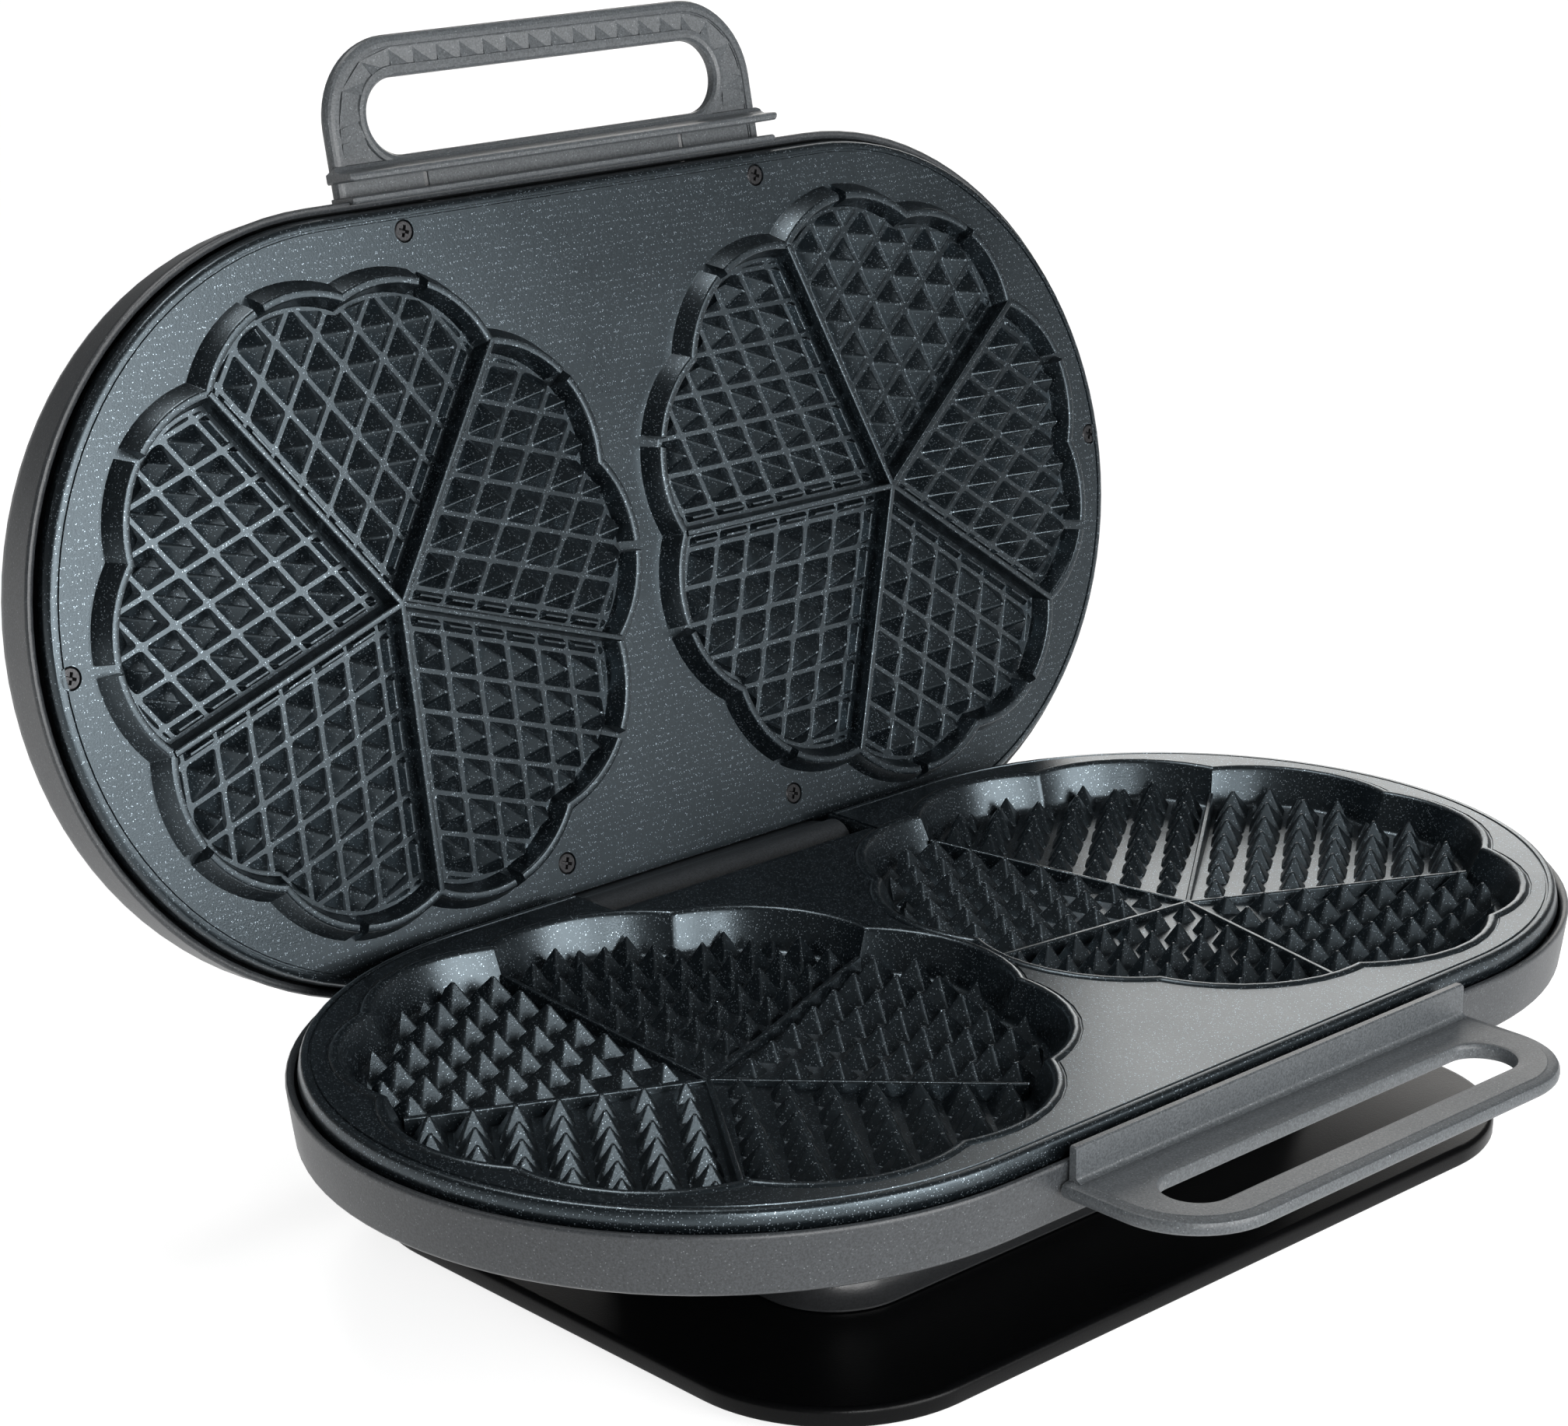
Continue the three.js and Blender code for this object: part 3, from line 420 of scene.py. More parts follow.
def spread(shape, faces, turn, cx):
    """Adds one heart's faces five times round a waffle centre."""
    for k in range(5):
        c, s = polar(1, turn + 72 * k)
        for f in faces:
            shape.add([(x * c - y * s + cx, x * s + y * c, z) for x, y, z in f], [list(range(len(f)))])


def both_sides(half):
    """Section of a rib from its right half, base first."""
    return half + [(-y, h) for y, h in half[::-1]]


def rib_faces(profile, length, floor):
    """One rib along the x axis: profile is [(offset, height)]."""
    stations = [length * i / 6 for i in range(7)]
    rings = [[(r, y, h + floor(r, 0)) for y, h in profile] for r in stations]
    faces = []
    for a, b in zip(rings, rings[1:]):
        for i in range(len(profile) - 1):
            faces.append([a[i], b[i], b[i + 1], a[i + 1]])
    return faces


def lattice(first, valley, profile, round_to, count=8):
    """Full cells of one heart. first is the distance of the first valley line from a rib."""
    cells = []
    starts = [(first + PITCH * i + valley / 2) / S72 for i in range(count)]
    stops = [(first + PITCH * (i + 1) - valley / 2) / S72 for i in range(count)]
    for s0, s1 in zip(starts, stops):
        for t0, t1 in zip(starts, stops):
            x, y = (s0 + s1) / 2 + (t0 + t1) / 2 * C72, (t0 + t1) / 2 * S72
            if math.hypot(x, y) < 102:
                cells.append(cell(s0, s1, t0, t1, profile, round_to))
    return cells


def floor_rings(side, inset, floor):
    """Rings of a dished floor from an inset outline to the centre."""
    cx = side * WELL_X
    rings = []
    for f in (1, 0.8, 0.6, 0.4, 0.2, 0.04):
        ring = [((x - cx) * f, y * f) for x, y in waffle(side, inset)]
        rings.append([(x + cx, y, floor(x, y)) for x, y in ring])
    return rings


# ------------------------------------------------------------------ materials

def nodes_of(material):
    """Node tree and shader of a material."""
    material.use_nodes = True
    tree = material.node_tree
    return tree, tree.nodes["Principled BSDF"]


def noise_of(tree, coords, scale, detail):
    """Noise texture in the object's own space."""
    noise = tree.nodes.new("ShaderNodeTexNoise")
    noise.inputs["Scale"].default_value = scale
    noise.inputs["Detail"].default_value = detail
    noise.inputs["Roughness"].default_value = 0.6
    tree.links.new(coords.outputs["Object"], noise.inputs["Vector"])
    return noise


def ramp(tree, source, stops):
    """Colour ramp on a value: stops are (position, colour)."""
    node = tree.nodes.new("ShaderNodeValToRGB")
    elements = node.color_ramp.elements
    while len(elements) < len(stops):
        elements.new(0.5)
    for element, (position, colour) in zip(elements, stops):
        element.position = position
        element.color = (*colour, 1)
    tree.links.new(source, node.inputs["Fac"])
    return node


def grey(v):
    return (v, v, v)


def mix_of(tree, blend, factor, a, b):
    """Colour mix node. a is an output; factor and b are outputs or constants."""
    mix = tree.nodes.new("ShaderNodeMix")
    mix.data_type = "RGBA"
    mix.blend_type = blend
    tree.links.new(a, mix.inputs["A"])
    for socket, value in (("Factor", factor), ("B", b)):
        if isinstance(value, bpy.types.NodeSocket):
            tree.links.new(value, mix.inputs[socket])
        else:
            mix.inputs[socket].default_value = value
    return mix.outputs["Result"]


def flakes_of(tree, coords, scale, chosen):
    """Mask of small round flecks: chosen is the ramp range that picks which cells have one."""
    spots = tree.nodes.new("ShaderNodeTexVoronoi")
    spots.inputs["Scale"].default_value = scale
    tree.links.new(coords.outputs["Object"], spots.inputs["Vector"])
    picked = ramp(tree, spots.outputs["Color"], [(chosen[0], grey(0)), (chosen[1], grey(1))])
    near = ramp(tree, spots.outputs["Distance"], [(0.22, grey(1)), (0.42, grey(0))])
    both = tree.nodes.new("ShaderNodeMath")
    both.operation = "MULTIPLY"
    tree.links.new(picked.outputs["Color"], both.inputs[0])
    tree.links.new(near.outputs["Color"], both.inputs[1])
    return both.outputs["Value"]


def surface(name, dark, light, roughness, metallic=0.0, grain=1700, bump=0.1, wear=0.15, specular=0.5,
            fleck=None, fleck_scale=1900, chosen=(0.74, 0.86), metal_flecks=False, tint=(1, 1, 1)):
    """Painted or moulded surface: two-tone grain, mottling, varied roughness, fine bump and flecks."""
    material = bpy.data.materials.new(name)
    tree, shader = nodes_of(material)
    coords = tree.nodes.new("ShaderNodeTexCoord")
    fine = noise_of(tree, coords, grain, 3.0)
    broad = noise_of(tree, coords, 18, 4.0)
    tone = ramp(tree, fine.outputs["Fac"], [(0.35, dark), (0.65, light)])
    mottle = ramp(tree, broad.outputs["Fac"], [(0.3, grey(1 - wear)), (0.7, grey(1.0))])
    colour = mix_of(tree, "MULTIPLY", 1.0, tone.outputs["Color"], mottle.outputs["Color"])
    if fleck:
        mask = flakes_of(tree, coords, fleck_scale, chosen)
        colour = mix_of(tree, "MIX", mask, colour, (*fleck, 1))
    tree.links.new(colour, shader.inputs["Base Color"])
    shader.inputs["Metallic"].default_value = metallic
    if metal_flecks:
        tree.links.new(mask, shader.inputs["Metallic"])
    rough = ramp(tree, broad.outputs["Fac"], [(0.3, grey(roughness * 0.9)), (0.7, grey(roughness * 1.12))])
    tree.links.new(rough.outputs["Color"], shader.inputs["Roughness"])
    shader.inputs["Specular IOR Level"].default_value = specular
    shader.inputs["Specular Tint"].default_value = (*tint, 1)
    relief = tree.nodes.new("ShaderNodeBump")
    relief.inputs["Strength"].default_value = bump
    relief.inputs["Distance"].default_value = 0.0004
    tree.links.new(fine.outputs["Fac"], relief.inputs["Height"])
    tree.links.new(relief.outputs["Normal"], shader.inputs["Normal"])
    return material


NONSTICK = surface("nonstick_coating", (0.0008, 0.0013, 0.0018), (0.0050, 0.0072, 0.0090), 0.30, wear=0.08,
                   specular=0.8, fleck=(0.40, 0.48, 0.54), fleck_scale=2300, chosen=(0.66, 0.86),
                   metal_flecks=True, tint=(0.74, 0.90, 1.0))
HOUSING = surface("housing_textured", (0.024, 0.0265, 0.029), (0.050, 0.055, 0.060), 0.40, bump=0.12,
                  fleck=(0.13, 0.142, 0.15), wear=0.1)
# Painted light: the loops are the same moulding as the housing, and this lighter copy of the housing's
# finish stands for the extra light they catch.
HANDLE = surface("handle_textured_lit", (0.054, 0.060, 0.065), (0.104, 0.114, 0.122), 0.42, bump=0.12,
                 fleck=(0.21, 0.228, 0.24), wear=0.1)
HINGE = surface("hinge_satin", (0.016, 0.018, 0.020), (0.034, 0.038, 0.042), 0.34, bump=0.2)
FOOT = surface("foot_black", (0.0010, 0.0011, 0.0013), (0.0022, 0.0023, 0.0026), 0.30, grain=1800,
               specular=0.12)
NECK = surface("neck_satin", (0.018, 0.019, 0.020), (0.028, 0.029, 0.031), 0.36, bump=0.15)
SCREW = surface("screw_black", (0.03, 0.03, 0.032), (0.06, 0.06, 0.063), 0.34, 0.8, grain=2200)
RUBBER = surface("rubber", (0.012, 0.012, 0.012), (0.02, 0.02, 0.02), 0.8, grain=1400, bump=0.2)
STEEL = surface("steel", (0.42, 0.42, 0.43), (0.55, 0.55, 0.56), 0.3, 1.0, grain=900, bump=0.05)
DULL_STEEL = surface("heater_steel", (0.14, 0.14, 0.135), (0.22, 0.21, 0.2), 0.45, 1.0, grain=700)
REFLECTOR = surface("reflector", (0.6, 0.6, 0.61), (0.7, 0.7, 0.71), 0.28, 1.0, grain=700, bump=0.04)
CERAMIC = surface("ceramic", (0.7, 0.67, 0.6), (0.8, 0.77, 0.7), 0.4, grain=600, bump=0.05)
SLEEVE = surface("glass_fibre_sleeve", (0.6, 0.58, 0.52), (0.75, 0.73, 0.66), 0.85, grain=1600, bump=0.3)
RED = surface("red_lens", (0.35, 0.01, 0.008), (0.42, 0.015, 0.01), 0.12, grain=500, bump=0.02)
GREEN = surface("green_lens", (0.01, 0.22, 0.03), (0.015, 0.27, 0.04), 0.12, grain=500, bump=0.02)
POINTER = surface("knob_pointer_white", (0.55, 0.55, 0.55), (0.65, 0.65, 0.65), 0.5, grain=1200, bump=0.05)
KNOB = surface("knob_black", (0.010, 0.010, 0.011), (0.016, 0.016, 0.017), 0.42, grain=1500, bump=0.15)

BY_SLOT = {
    "foot_gloss": FOOT, "pedestal_satin": NECK, "rubber": RUBBER, "housing": HOUSING, "handle": HANDLE,
    "nonstick_plate": NONSTICK, "lead_sleeve": SLEEVE, "heater_steel": DULL_STEEL, "reflector": REFLECTOR,
    "ceramic": CERAMIC, "screw_steel": SCREW, "pin_steel": STEEL, "red_lens": RED, "green_lens": GREEN,
    "knob": KNOB,
}
for part in frame["record"]["subparts"]:
    name = part["node"]
    # Painted shade: the screws in the handle recesses get the darker hinge finish in place of their steel,
    # standing for the shade in the recesses.
    recess_shaded = name.startswith(("lid_handle_screw", "base_handle_screw"))   # no bright marks in the recesses
    materials = frame["nodes"][name].data.materials
    materials.clear()
    materials.append(HINGE if recess_shaded else BY_SLOT[part["material_slot"]])

# ------------------------------------------------------------------ cooking plates

LOWER_FLOOR = Floor(-16.4, 5.3)
UPPER_FLOOR = Floor(4.1, -4.0)      # heights above the lid's face, towards the food
PITCH = 11.1                        # between the waffle pattern's lines
LID_SCREWS = [(-66.5, -99.8), (66.5, -99.8), (-45.1, 86), (45.1, 86), (-195.7, 0), (195.7, 0)]
RIM = 103.15                        # end radius of the flat face, inside the edge's groove


def plate_edge(shape, under):
    """Edge of a plate: skirt, side, rounded edge and groove, up to the flat face, and the underside."""
    stations = [(104, -12), (106.9, -4.6), (106.5, -2.2), (106.2, -1.0), (105.9, -0.45), (105.4, -0.12),
                (104.7, 0), (104.05, 0), (103.85, -0.5), (103.35, -0.5), (RIM, 0)]
    shape.loft([at(stadium(r), z) for r, z in stations])
    shape.loft([at(stadium(r), z) for r, z in under])
    shape.flat(stadium(under[0][0]), [], under[0][1], up=False)


def lower_plate():
    """Plate with two wells, each with a rounded bead round it."""
    shape = Shape()
    bead = [(-3.7, 0), (-3.45, -0.3), (-3.1, -0.3), (-2.8, 0.1), (-2.3, 0.5), (-1.6, 0.62), (-0.9, 0.5),
            (-0.35, 0.1), (0.0, -0.5), (0.3, -1.4)]
    foot = [(3.4, 1.9), (3.8, 1.0), (4.4, 0.35), (5.3, 0.04)]   # inset, height above the floor
    plate_edge(shape, [(96, -12.5), (104, -12)])
    for side in (-1, 1):
        cx = side * WELL_X
        rings = [at(waffle(side, inset), z) for inset, z in bead]
        for inset, rise in foot:
            rings.append([(x, y, LOWER_FLOOR(x - cx, y) + rise) for x, y in waffle(side, inset)])
        rings += floor_rings(side, 5.6, LOWER_FLOOR)
        shape.loft(rings)
        shape.cap(rings[-1])
    shape.flat(stadium(RIM), [waffle(side, -3.7) for side in (-1, 1)], 0)
    return shape


def lower_pattern():
    """Pyramids and ribs of both wells."""
    profile = [(0, 0), (0.12, 0.03), (0.3, 0.25), (4.2, 6.95), (4.35, 7.3), (4.55, 7.52), (4.75, 7.6)]
    cells = lattice(1.5, 1.2, profile, round_to=1.3)
    faces = heart_faces(cells, 6.6, LOWER_FLOOR)
    rib = both_sides([(1.3, -0.1), (0.85, 4.3), (0.65, 4.68), (0.35, 4.8)])
    faces += rib_faces(rib, 84, LOWER_FLOOR)
    shape = Shape()
    for side in (-1, 1):
        spread(shape, faces, TURN[side], side * WELL_X)
    return shape


def upper_plate():
    """Plate with countersunk screw holes and two dished floors."""
    shape = Shape()
    plate_edge(shape, [(96, -4.7), (106.9, -4.6)])
    holes = [circle(x, y, 3.3) for x, y in LID_SCREWS]
    for x, y in LID_SCREWS:
        rings = [at(circle(x, y, r), z) for r, z in ((3.3, 0), (3.15, -0.25), (3.15, -2.0))]
        shape.loft(rings)
        shape.cap(rings[-1])
    for side in (-1, 1):
        rings = [at(waffle(side, 7.9), 0.0)]
        rings.append([(x, y, UPPER_FLOOR(x - side * WELL_X, y)) for x, y in waffle(side, 8.2)])
        rings += floor_rings(side, 8.8, UPPER_FLOOR)
        shape.loft(rings)
        shape.cap(rings[-1])
    shape.flat(stadium(RIM), [waffle(side, 7.9) for side in (-1, 1)] + holes, 0)
    return shape


def ridge(shape, side):
    """Lobed ridge in ten stretches, with a steam vent between each two."""
    section = [(1.5, -0.1), (1.75, 0.3), (4.1, 5.4), (4.35, 5.85), (4.75, 6.1), (6.25, 6.1), (6.6, 5.85),
               (6.8, 5.4), (8.3, 0.8), (8.7, 0.0)]
    half_vent = 1.0
    eased = [math.sin(math.pi / 2 * i / 12) for i in range(13)]
    for k in range(10):
        start, middle, stop = 18 + 36 * k + half_vent, 36 * (k + 1), 18 + 36 * (k + 1) - half_vent
        angles = [start + (middle - start) * f for f in eased]
        angles += [stop - (stop - middle) * f for f in eased[-2::-1]]
        rings = []
        for inset, h in section:
            ring = []
            for a in angles:
                x, y = polar(reach(a, inset), a + TURN[side])
                z = max(h, UPPER_FLOOR(x, y)) if inset > 8 else h
                ring.append((side * WELL_X + x, y, z))
            rings.append(ring)
        shape.loft(rings, closed=False)
        shape.cap([ring[0] for ring in rings], up=False)
        shape.cap([ring[-1] for ring in rings])


def upper_pattern():
    """Pyramids, the narrow cells beside the ribs, ribs and ridges of both waffles."""
    line, valley = 1.65, 1.15
    first = line + 4.05
    full = [(0, 0), (0.12, 0.03), (0.28, 0.2), (4.1, 4.95), (4.3, 5.28), (4.5, 5.46), (4.75, 5.55)]
    narrow = [(0, 0), (0.1, 0.05), (0.95, 1.9), (1.08, 2.1), (1.2, 2.2)]
    cells = lattice(first, valley, full, round_to=1.4)
    v = valley / 2
    low, high = (line + v) / S72, (first - v) / S72
    for i in range(8):
        a, b = (first + PITCH * i + v) / S72, (first + PITCH * (i + 1) - v) / S72
        cells.append(cell(a, b, low, high, narrow, 0.7))
        cells.append(cell(low, high, a, b, narrow, 0.7))
    cells.append(cell(low, high, low, high, narrow, 0.9))
    faces = heart_faces(cells, 9.9, UPPER_FLOOR)
    rib = both_sides([(1.2, -0.1), (1.0, 5.9), (0.8, 6.25), (0.55, 6.35)])
    faces += rib_faces(rib, 81.5, UPPER_FLOOR)
    shape = Shape()
    for side in (-1, 1):
        spread(shape, faces, TURN[side], side * WELL_X)
        ridge(shape, side)
    return shape


BARREL_HALF = 50.7
POCKET_FRONT = 88.5   # front wall of the pocket for the hinge
FAR = 200             # beyond every piece
POCKET = ((-BARREL_HALF, POCKET_FRONT, -30), (BARREL_HALF, FAR, 5))
POCKET_RECESS = ((-BARREL_HALF - 1.2, POCKET_FRONT - 2.7, -0.55), (BARREL_HALF + 1.2, FAR, 5))
LID_NOTCH = ((-51, 95.2, -20), (51, FAR, 30))
make("lower_plate_cast", lower_plate(), NONSTICK, "base", ["lower_plate"],
     holes=[POCKET, POCKET_RECESS])
make("lower_waffle_pattern", lower_pattern(), NONSTICK, "base", ["lower_plate"], sharp=50)
make("upper_plate_cast", upper_plate().mirrored(), NONSTICK, "lid", ["upper_plate"],
     holes=[LID_NOTCH])
make("upper_waffle_pattern", upper_pattern().mirrored(), NONSTICK, "lid", ["upper_plate"],
     sharp=50)

# ------------------------------------------------------------------ housings


def base_shell():
    """Shell from its inside over the rim to the belly."""
    shape = Shape()
    stations = [(70, -30.5), (80, -28.5), (105.4, -19.7), (107.4, -8), (107.7, -5.4), (108.3, -4.85),
                (109.0, -4.7), (109.6, -4.85), (109.95, -5.3), (110, -6.0), (109.0, -14), (108.15, -20.0),
                (107.9, -20.6), (107.2, -21.2), (105.8, -21.8), (82, -30.6), (79, -32.2), (76, -33)]
    shape.loft([at(stadium(r), z) for r, z in stations[::-1]])
    shape.flat(stadium(70), [], -30.5, up=True)
    shape.flat(stadium(76), [], -33, up=False)
    return shape


def lid_shell():
    """Shell from its inside over the rim to the domed top."""
    shape = Shape()
    stations = [(70, 30.0), (100, 27), (105.4, 22), (107.4, 11.5), (107.7, 8.9), (108.3, 8.35),
                (109.0, 8.2), (109.6, 8.35), (109.95, 8.8), (110, 9.5), (109.0, 17.5), (108.6, 21.8),
                (108.0, 24.2), (106.6, 26.3), (104, 28.2), (99, 30.0), (90, 31.3), (72, 32.2), (48, 32.5)]
    shape.loft([at(stadium(r), z) for r, z in stations])
    shape.flat(stadium(70), [], 30.0, up=False)
    shape.flat(stadium(48), [], 32.5, up=True)
    return shape


BASE_NOTCH = ((-BARREL_HALF, POCKET_FRONT, -20.4), (BARREL_HALF, FAR, 5))
HANDLE_SEAT = ((-79.95, -FAR, -10), (79.95, -109, 60))
make("base_shell", base_shell(), HOUSING, "base", ["base_housing"], holes=[BASE_NOTCH])
make("lid_shell", lid_shell(), HOUSING, "lid", ["lid_housing"], holes=[HANDLE_SEAT])


def extruded(shape, rings):
    """Closed extrusion along X: rings are (x, section), sections (y, z) counter-clockwise seen from -X."""
    placed = [[(x, y, z) for y, z in section] for x, section in rings]
    shape.loft(placed)
    shape.cap(placed[0], up=False)
    shape.cap(placed[-1])


def bar(shape, half, section, chamfer):
    """Bar along X, of a (y, z) section, with chamfered ends."""
    cy = sum(y for y, z in section) / len(section)
    cz = sum(z for y, z in section) / len(section)
    shrunk = [(y + (cy - y) * 0.25 * chamfer, z + (cz - z) * 0.12 * chamfer) for y, z in section]
    extruded(shape, [(-half, shrunk), (chamfer - half, section), (half - chamfer, section), (half, shrunk)])


def knuckle():
    """Barrel with the block that carries the lid; the block's front face runs into the barrel."""
    half, r, front, high = 49.9, 6.8, -5.75, 24.4
    lean = math.degrees(math.acos(front / -r))
    section = [polar(r, a) for a in np.linspace(180 - lean, 360, 40)]
    section += [(r, 0), (r, 14), (4.2, high), (front + 0.5, high), (front, high - 0.5)]
    whole = [(HINGE_Y + y, HINGE_Z + z) for y, z in section]
    end = [(HINGE_Y + y * 0.94, HINGE_Z + z * 0.94) for y, z in section]
    shape = Shape()
    extruded(shape, [(-half, end), (0.4 - half, whole), (half - 0.4, whole), (half, end)])
    return shape


make("hinge_barrel", knuckle(), HINGE, "lid", ["hinge_knuckle"])

# ------------------------------------------------------------------ handles

HANDLE_TOP = -9.5     # heights of both loops, before the lid's is mirrored
HANDLE_BOTTOM = -14


def loop(shape, outline, slot, rim, lip, face):
    """Flat loop with a slot; rim and lip are the upper edges of outside and slot, as (inset, z)."""
    half, front, root, corner = outline
    slot_half, slot_front, slot_back, slot_corner = slot
    top, bottom = HANDLE_TOP, HANDLE_BOTTOM

    def outside(inset):
        ring = rounded(-half + inset, half - inset, front + inset, root + 60, corner - inset * 0.9, 14)
        return [(x, min(y, root)) for x, y in ring]

    def hole(grow):
        return rounded(-slot_half - grow, slot_half + grow, slot_front - grow, slot_back + grow,
                       slot_corner + grow)

    side = [(2.0, bottom), (0.8, bottom + 0.35), (0.15, bottom + 1.1), (0, bottom + 2.0), (0.1, top - 1.5)]
    slot_side = [(0, bottom + 1.2), (0.4, bottom + 0.4), (1.2, bottom)]
    shape.loft([at(outside(inset), z) for inset, z in side + rim])
    shape.loft([at(hole(grow), z) for grow, z in lip + slot_side])
    shape.flat(outside(rim[-1][0]), [hole(lip[0][0])], face)
    shape.flat(outside(2.0), [hole(1.2)], bottom, up=False)


def base_handle():
    """Loop, and the upright guard strip behind it."""
    shape = Shape()
    top = HANDLE_TOP
    rim = [(0.5, top - 0.75), (1.3, top - 0.38), (2.9, top - 0.2), (3.2, top - 0.05), (3.5, top)]
    lip = [(1.5, top), (0.6, top - 0.25), (0.1, top - 0.9), (0, top - 1.6)]
    loop(shape, (79.5, -155, -110.35, 24.5), (66, -143, -125, 9), rim, lip, top)
    guard = [(-110.35, -13.9), (-110.35, -0.75), (-110.6, -0.42), (-112.3, -0.35), (-112.75, -0.7),
             (-112.85, -1.2), (-112.85, -8.2), (-113.1, -8.85), (-113.6, -9.3), (-114.4, -9.48),
             (-114.4, -9.9), (-112.0, -13.9)]
    bar(shape, 77, guard[::-1], 0.5)
    return shape


def facets(shape):
    """Band of folded triangular facets on the inner face of the lid's loop."""
    outer_half, outer_front, outer_r = 75.4, -150.3, 20.6
    inner_half, inner_front, inner_r = 66.9, -144.2, 12.4
    root = -121.5
    side_cells, corner_cells, bar_cells = 2, 3, 13
    left = []
    for i in range(side_cells):
        f = i / side_cells
        outer_y = root + (outer_front + outer_r - root) * f
        inner_y = root + (inner_front + inner_r - root) * f
        left.append(((-outer_half, outer_y), (-inner_half, inner_y)))
    for i in range(corner_cells):
        a = 180 + 90 * i / corner_cells
        xo, yo = polar(outer_r, a)
        xi, yi = polar(inner_r, a)
        left.append(((-outer_half + outer_r + xo, outer_front + outer_r + yo),
                     (-inner_half + inner_r + xi, inner_front + inner_r + yi)))
    right = [((-xo, yo), (-xi, yi)) for (xo, yo), (xi, yi) in left[::-1]]
    outer_end, inner_end = outer_half - outer_r, inner_half - inner_r
    middle = []
    for i in range(bar_cells + 1):
        f = -1 + 2 * i / bar_cells
        middle.append(((outer_end * f, outer_front), (inner_end * f, inner_front)))
    pairs = left + middle + right
    low, high = HANDLE_TOP - 0.675, HANDLE_TOP - 0.05
    for (outer, inner), (next_outer, next_inner) in zip(pairs, pairs[1:]):
        corners = [(*outer, low), (*inner, high), (*next_inner, low), (*next_outer, high)]
        shape.add(corners, [[0, 1, 2], [0, 2, 3]])


def lid_handle():
    """Loop with facets, ledge and strip, built face up and then mirrored on to the lid."""
    shape = Shape()
    top = HANDLE_TOP
    rim = [(0.5, top - 0.7), (1.2, top - 0.25), (2.2, top), (3.4, top), (3.6, top - 0.5), (3.9, top - 0.5)]
    lip = [(3.3, top - 0.5), (3.05, top - 0.05), (1.9, top), (0.8, top - 0.3), (0.15, top - 1.1),
           (0, top - 2.0)]
    loop(shape, (79.3, -154.2, -109.0, 24.5), (65, -142.3, -120.8, 10.7), rim, lip, top - 0.8)
    facets(shape)
    ledge = [(-119.8, -9.9), (-119.6, -9.2), (-118.6, -8.5), (-117.9, -7.2), (-117.45, -1.9),
             (-117.2, -1.35), (-116.5, -1.1), (-115.6, -1.3), (-115.2, -1.9), (-115.1, -13.9), (-118, -13.9)]
    bar(shape, 80.3, ledge, 0.9)
    strip = [(-111.1, -9.9), (-111.0, -3.4), (-110.6, -2.9), (-109.6, -2.8), (-109.1, -3.3),
             (-109.0, -13.9), (-111.1, -13.9)]
    bar(shape, 79.6, strip, 0.7)
    return shape.mirrored()


make("base_loop_handle", base_handle(), HANDLE, "base", ["base_handle"], sharp=32)
make("lid_loop_handle", lid_handle(), HANDLE, "lid", ["lid_handle"], sharp=8, weighted=False)

# ------------------------------------------------------------------ foot and pedestal


def foot():
    """Flat plate with round corners and rounded edges."""
    shape = Shape()
    half, front, back, corner, top = 146, -98, 106, 45, -61

    def ring(inset):
        return rounded(-half + inset, half - inset, front + inset, back - inset, corner - inset, 20)
    stations = [(1.4, top - 5.5), (0.5, top - 5.25), (0.08, top - 4.6), (0, top - 1.7), (0.25, top - 0.85),
                (0.8, top - 0.25), (1.8, top)]
    shape.loft([at(ring(i), z) for i, z in stations])
    shape.flat(ring(1.8), [], top)
    shape.flat(ring(1.4), [], top - 5.5, up=False)
    return shape


def neck():
    """Rounded box that flares where it meets the foot."""
    shape = Shape()

    def ring(grow):
        return rounded(-98 - grow, 98 + grow, -49 - grow, 49 + grow, 17 + grow, 16)
    low = -60.65
    stations = [(6.0, low), (6.0, low + 0.5), (5.2, low + 0.9), (3.6, low + 1.7), (2.2, low + 2.9),
                (1.1, low + 4.6), (0.3, low + 7.0), (0, low + 10), (0, -33.3)]
    shape.loft([at(ring(g), z) for g, z in stations])
    shape.flat(ring(6.0), [], low, up=False)
    shape.flat(ring(0), [], -33.3)
    return shape


make("foot_slab", foot(), FOOT, "base", ["foot_plate"])
make("pedestal_neck", neck(), NECK, "base", ["pedestal"])

# ------------------------------------------------------------------ screws


def cross_head(x, y):
    """Countersunk head with a cross recess, face up."""
    shape = Shape()
    r, face, deep = 2.65, -0.12, -1.3
    w, l = 0.48, 1.75   # half width and half length of the cross
    plus = [(w, w), (w, l), (-w, l), (-w, w), (-l, w), (-l, -w), (-w, -w), (-w, -l), (w, -l), (w, -w),
            (l, -w), (l, w)]
    spin = [(x + a * 0.94 - b * 0.34, y + a * 0.34 + b * 0.94) for a, b in plus]
    small = [(x + (a - x) * 0.7, y + (b - y) * 0.7) for a, b in spin]
    side = [(3.0, -1.8), (r + 0.3, face - 0.25), (r, face)]
    shape.loft([at(circle(x, y, radius), z) for radius, z in side])
    shape.flat(circle(x, y, r), [spin], face)
    shape.loft([at(spin, face), at(small, deep)])
    shape.cap(at(small, deep))
    return shape.mirrored()


for index, (sx, sy) in enumerate(LID_SCREWS):
    make(f"plate_screw_head_{index + 1}", cross_head(sx, sy), SCREW, "lid",
         [f"plate_screw_{index + 1}"])

# ------------------------------------------------------------------ browning knob, on the back of the lid

KNOB_LOW = FACE_GAP + 29.35   # underside of the knob
KNOB_HEIGHT = 12
KNOB_Y = -60


def fluted(r, depth, steps=144, flutes=24):
    """Round outline at the knob's place, with flutes of a depth."""
    ring = []
    for i in range(steps):
        a = 360 * i / steps
        x, y = polar(r - depth * 0.5 * (1 - math.cos(math.radians(a * flutes))), a)
        ring.append((x, y + KNOB_Y))
    return ring


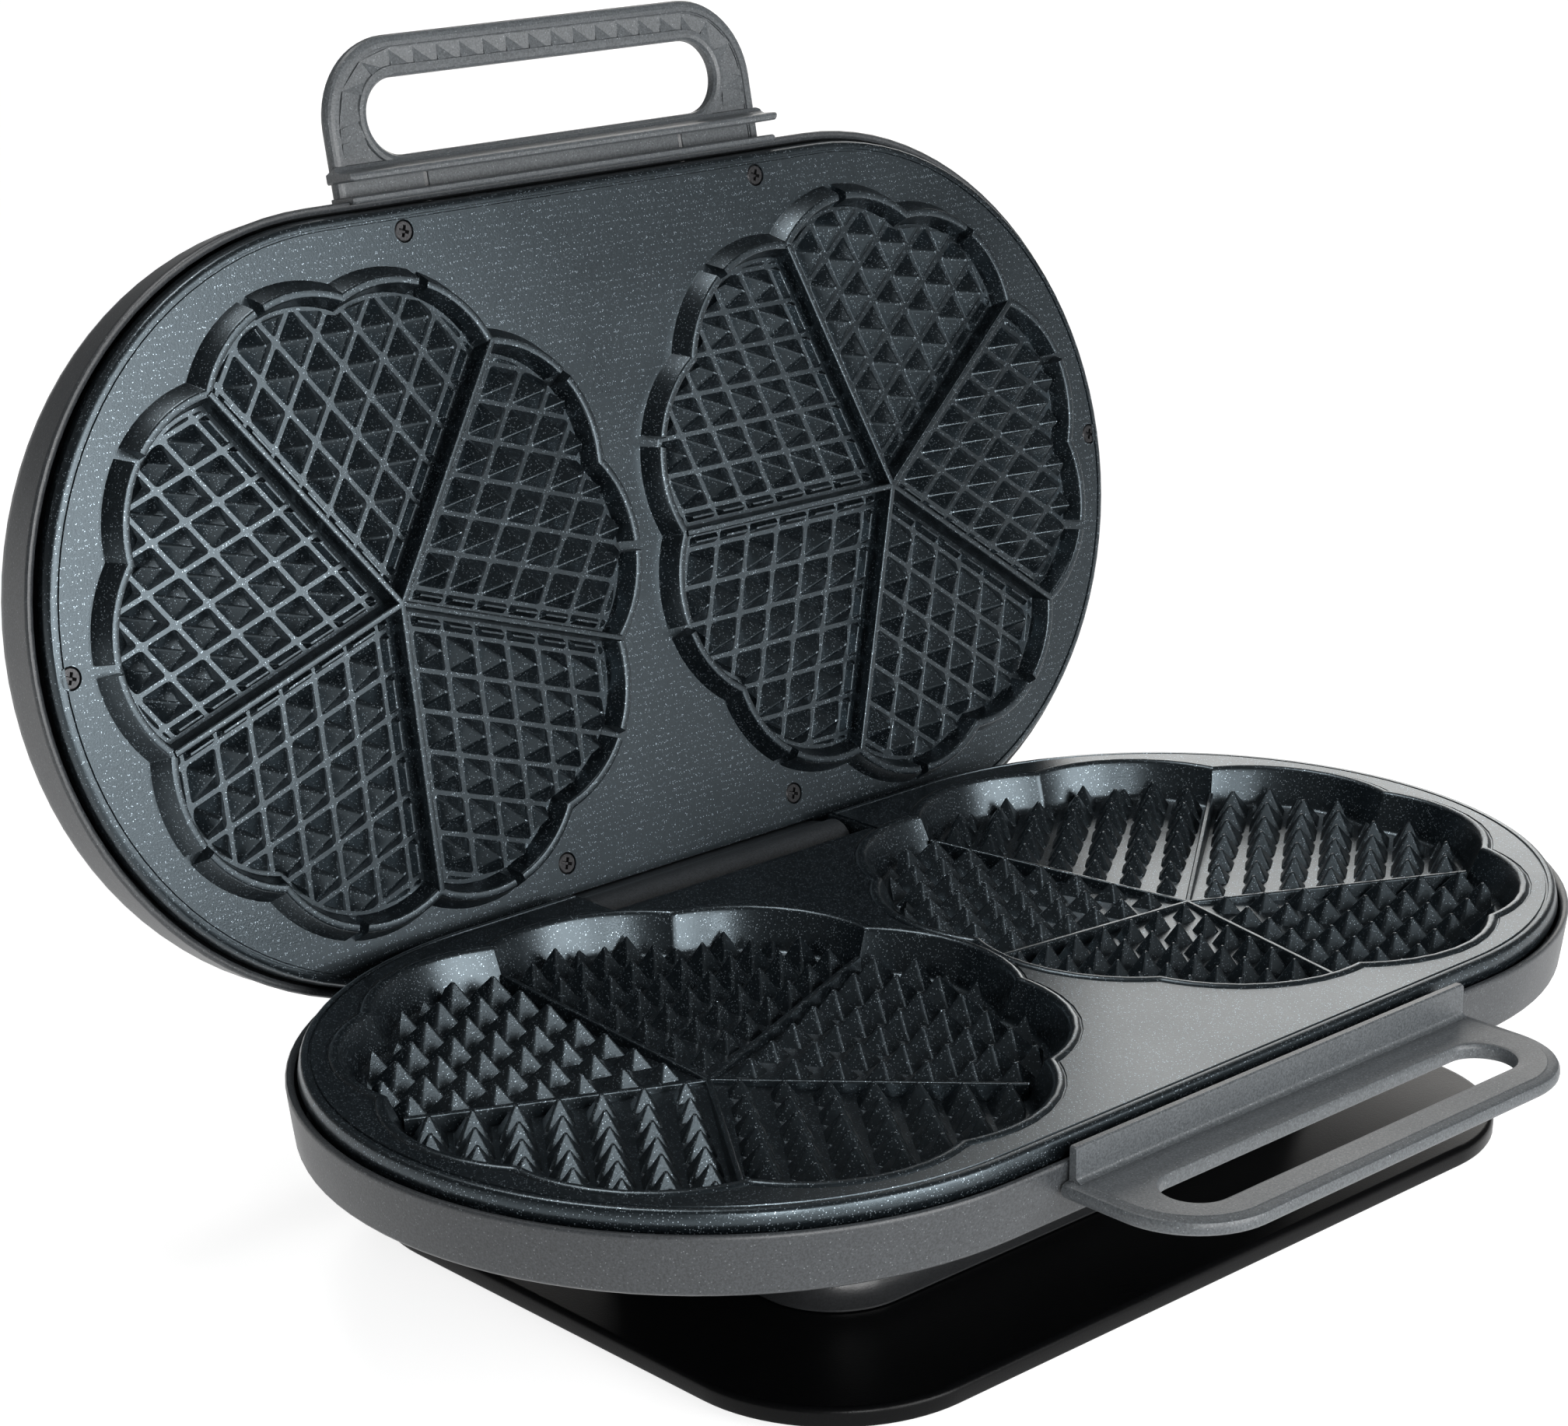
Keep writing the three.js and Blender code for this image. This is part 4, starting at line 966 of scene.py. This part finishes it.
def knob():
    """Round skirt with a fluted grip on it."""
    shape = Shape()
    stations = [(18.4, 0, 0), (18.9, 0.5, 0), (18.9, 2.1, 0), (18.4, 2.6, 0), (15.6, 3.3, 0.3),
                (15.0, 4.0, 0.8), (14.0, 10.6, 0.8), (13.4, 11.6, 0.4), (12.4, KNOB_HEIGHT, 0)]
    rings = [at(fluted(r, depth), KNOB_LOW + h) for r, h, depth in stations]
    shape.loft(rings)
    shape.cap(rings[0], up=False)
    shape.cap(rings[-1])
    return shape


def pointer():
    """Raised line on the knob's face that shows its setting."""
    shape = Shape()
    low = KNOB_LOW + KNOB_HEIGHT
    foot_ring = rounded(-0.8, 0.8, KNOB_Y - 11, KNOB_Y - 2, 0.7, 5)
    top_ring = rounded(-0.65, 0.65, KNOB_Y - 10.85, KNOB_Y - 2.15, 0.6, 5)
    shape.loft([at(foot_ring, low - 0.1), at(foot_ring, low + 0.12), at(top_ring, low + 0.2)])
    shape.cap(at(top_ring, low + 0.2))
    return shape


make("knob_grip", knob(), KNOB, "knob", ["browning_knob"], weld=0, sharp=30, weighted=False)
make("knob_pointer", pointer(), POINTER, "knob", weld=0, sharp=30, weighted=False)

# ------------------------------------------------------------------ floor, light and camera

FLOOR = 40.0          # half its side, metres
floor_mesh = bpy.data.meshes.new("floor")
corners = [(-FLOOR, -FLOOR, 0), (FLOOR, -FLOOR, 0), (FLOOR, FLOOR, 0), (-FLOOR, FLOOR, 0)]
floor_mesh.from_pydata(corners, [], [[0, 1, 2, 3]])
floor_obj = linked("floor", floor_mesh)
floor_material = bpy.data.materials.new("floor_white")
floor_shader = nodes_of(floor_material)[1]
floor_shader.inputs["Base Color"].default_value = (0.42, 0.42, 0.42, 1)
floor_shader.inputs["Roughness"].default_value = 0.9
floor_shader.inputs["Emission Color"].default_value = (1, 1, 1, 1)
floor_shader.inputs["Emission Strength"].default_value = 0.82
floor_mesh.materials.append(floor_material)

world = bpy.data.worlds.new("studio")
bpy.context.scene.world = world
world.use_nodes = True
sky_tree = world.node_tree
sky = sky_tree.nodes["Background"]
sky.inputs["Strength"].default_value = 1.0
direction = sky_tree.nodes.new("ShaderNodeTexCoord")
split = sky_tree.nodes.new("ShaderNodeSeparateXYZ")
sky_tree.links.new(direction.outputs["Generated"], split.inputs["Vector"])
horizon = ramp(sky_tree, split.outputs["Z"], [(0.02, grey(0.85)), (0.05, grey(0.12))])
sky_tree.links.new(horizon.outputs["Color"], sky.inputs["Color"])


def area(name, where, target, size, power, size_y=None, colour=(1, 1, 1)):
    """Rectangular light aimed at a target: metres and watts."""
    data = bpy.data.lights.new(name, "AREA")
    data.shape = "RECTANGLE"
    data.size = size
    data.size_y = size_y or size
    data.energy = power
    data.color = colour
    lamp = linked(name, data)
    lamp.location = where
    lamp.rotation_mode = "QUATERNION"
    lamp.rotation_quaternion = (Vector(target) - Vector(where)).to_track_quat("-Z", "Y")


area("front_softbox", (0.2, -1.3, 0.47), (-0.05, 0.1, 0.2), 1.1, 18, size_y=0.62)
area("near_softbox", (-0.62, -1.1, 0.4), (-0.1, 0.1, 0.2), 0.24, 6)
area("top_softbox", (-0.1, 0.5, 1.6), (0, 0, 0.1), 0.5, 8)
area("rear_right_softbox", (2.9, 2.4, 1.15), (0.1, -0.1, 0), 2.0, 36, colour=(1.0, 0.98, 0.95))

camera_data = bpy.data.cameras.new("camera")
camera = linked("camera", camera_data)
bpy.context.scene.camera = camera
camera_data.sensor_width = 36
camera_data.lens = 86.2
camera_data.shift_x = -0.0114
camera_data.shift_y = 0.0143
camera_data.clip_start = 0.01
camera_data.clip_end = 50
CAMERA = np.array([-698.9, -671.2, 375.5])
camera.location = Vector(((CAMERA + ORIGIN) / 1000).tolist())
aim = Vector((0.65511, 0.68946, -0.30899)).to_track_quat("-Z", "Y")
tilt = Matrix.Rotation(math.radians(-0.15), 3, "Z").to_quaternion()
camera.rotation_mode = "QUATERNION"
camera.rotation_quaternion = aim @ tilt

bpy.context.scene.view_settings.view_transform = "Standard"
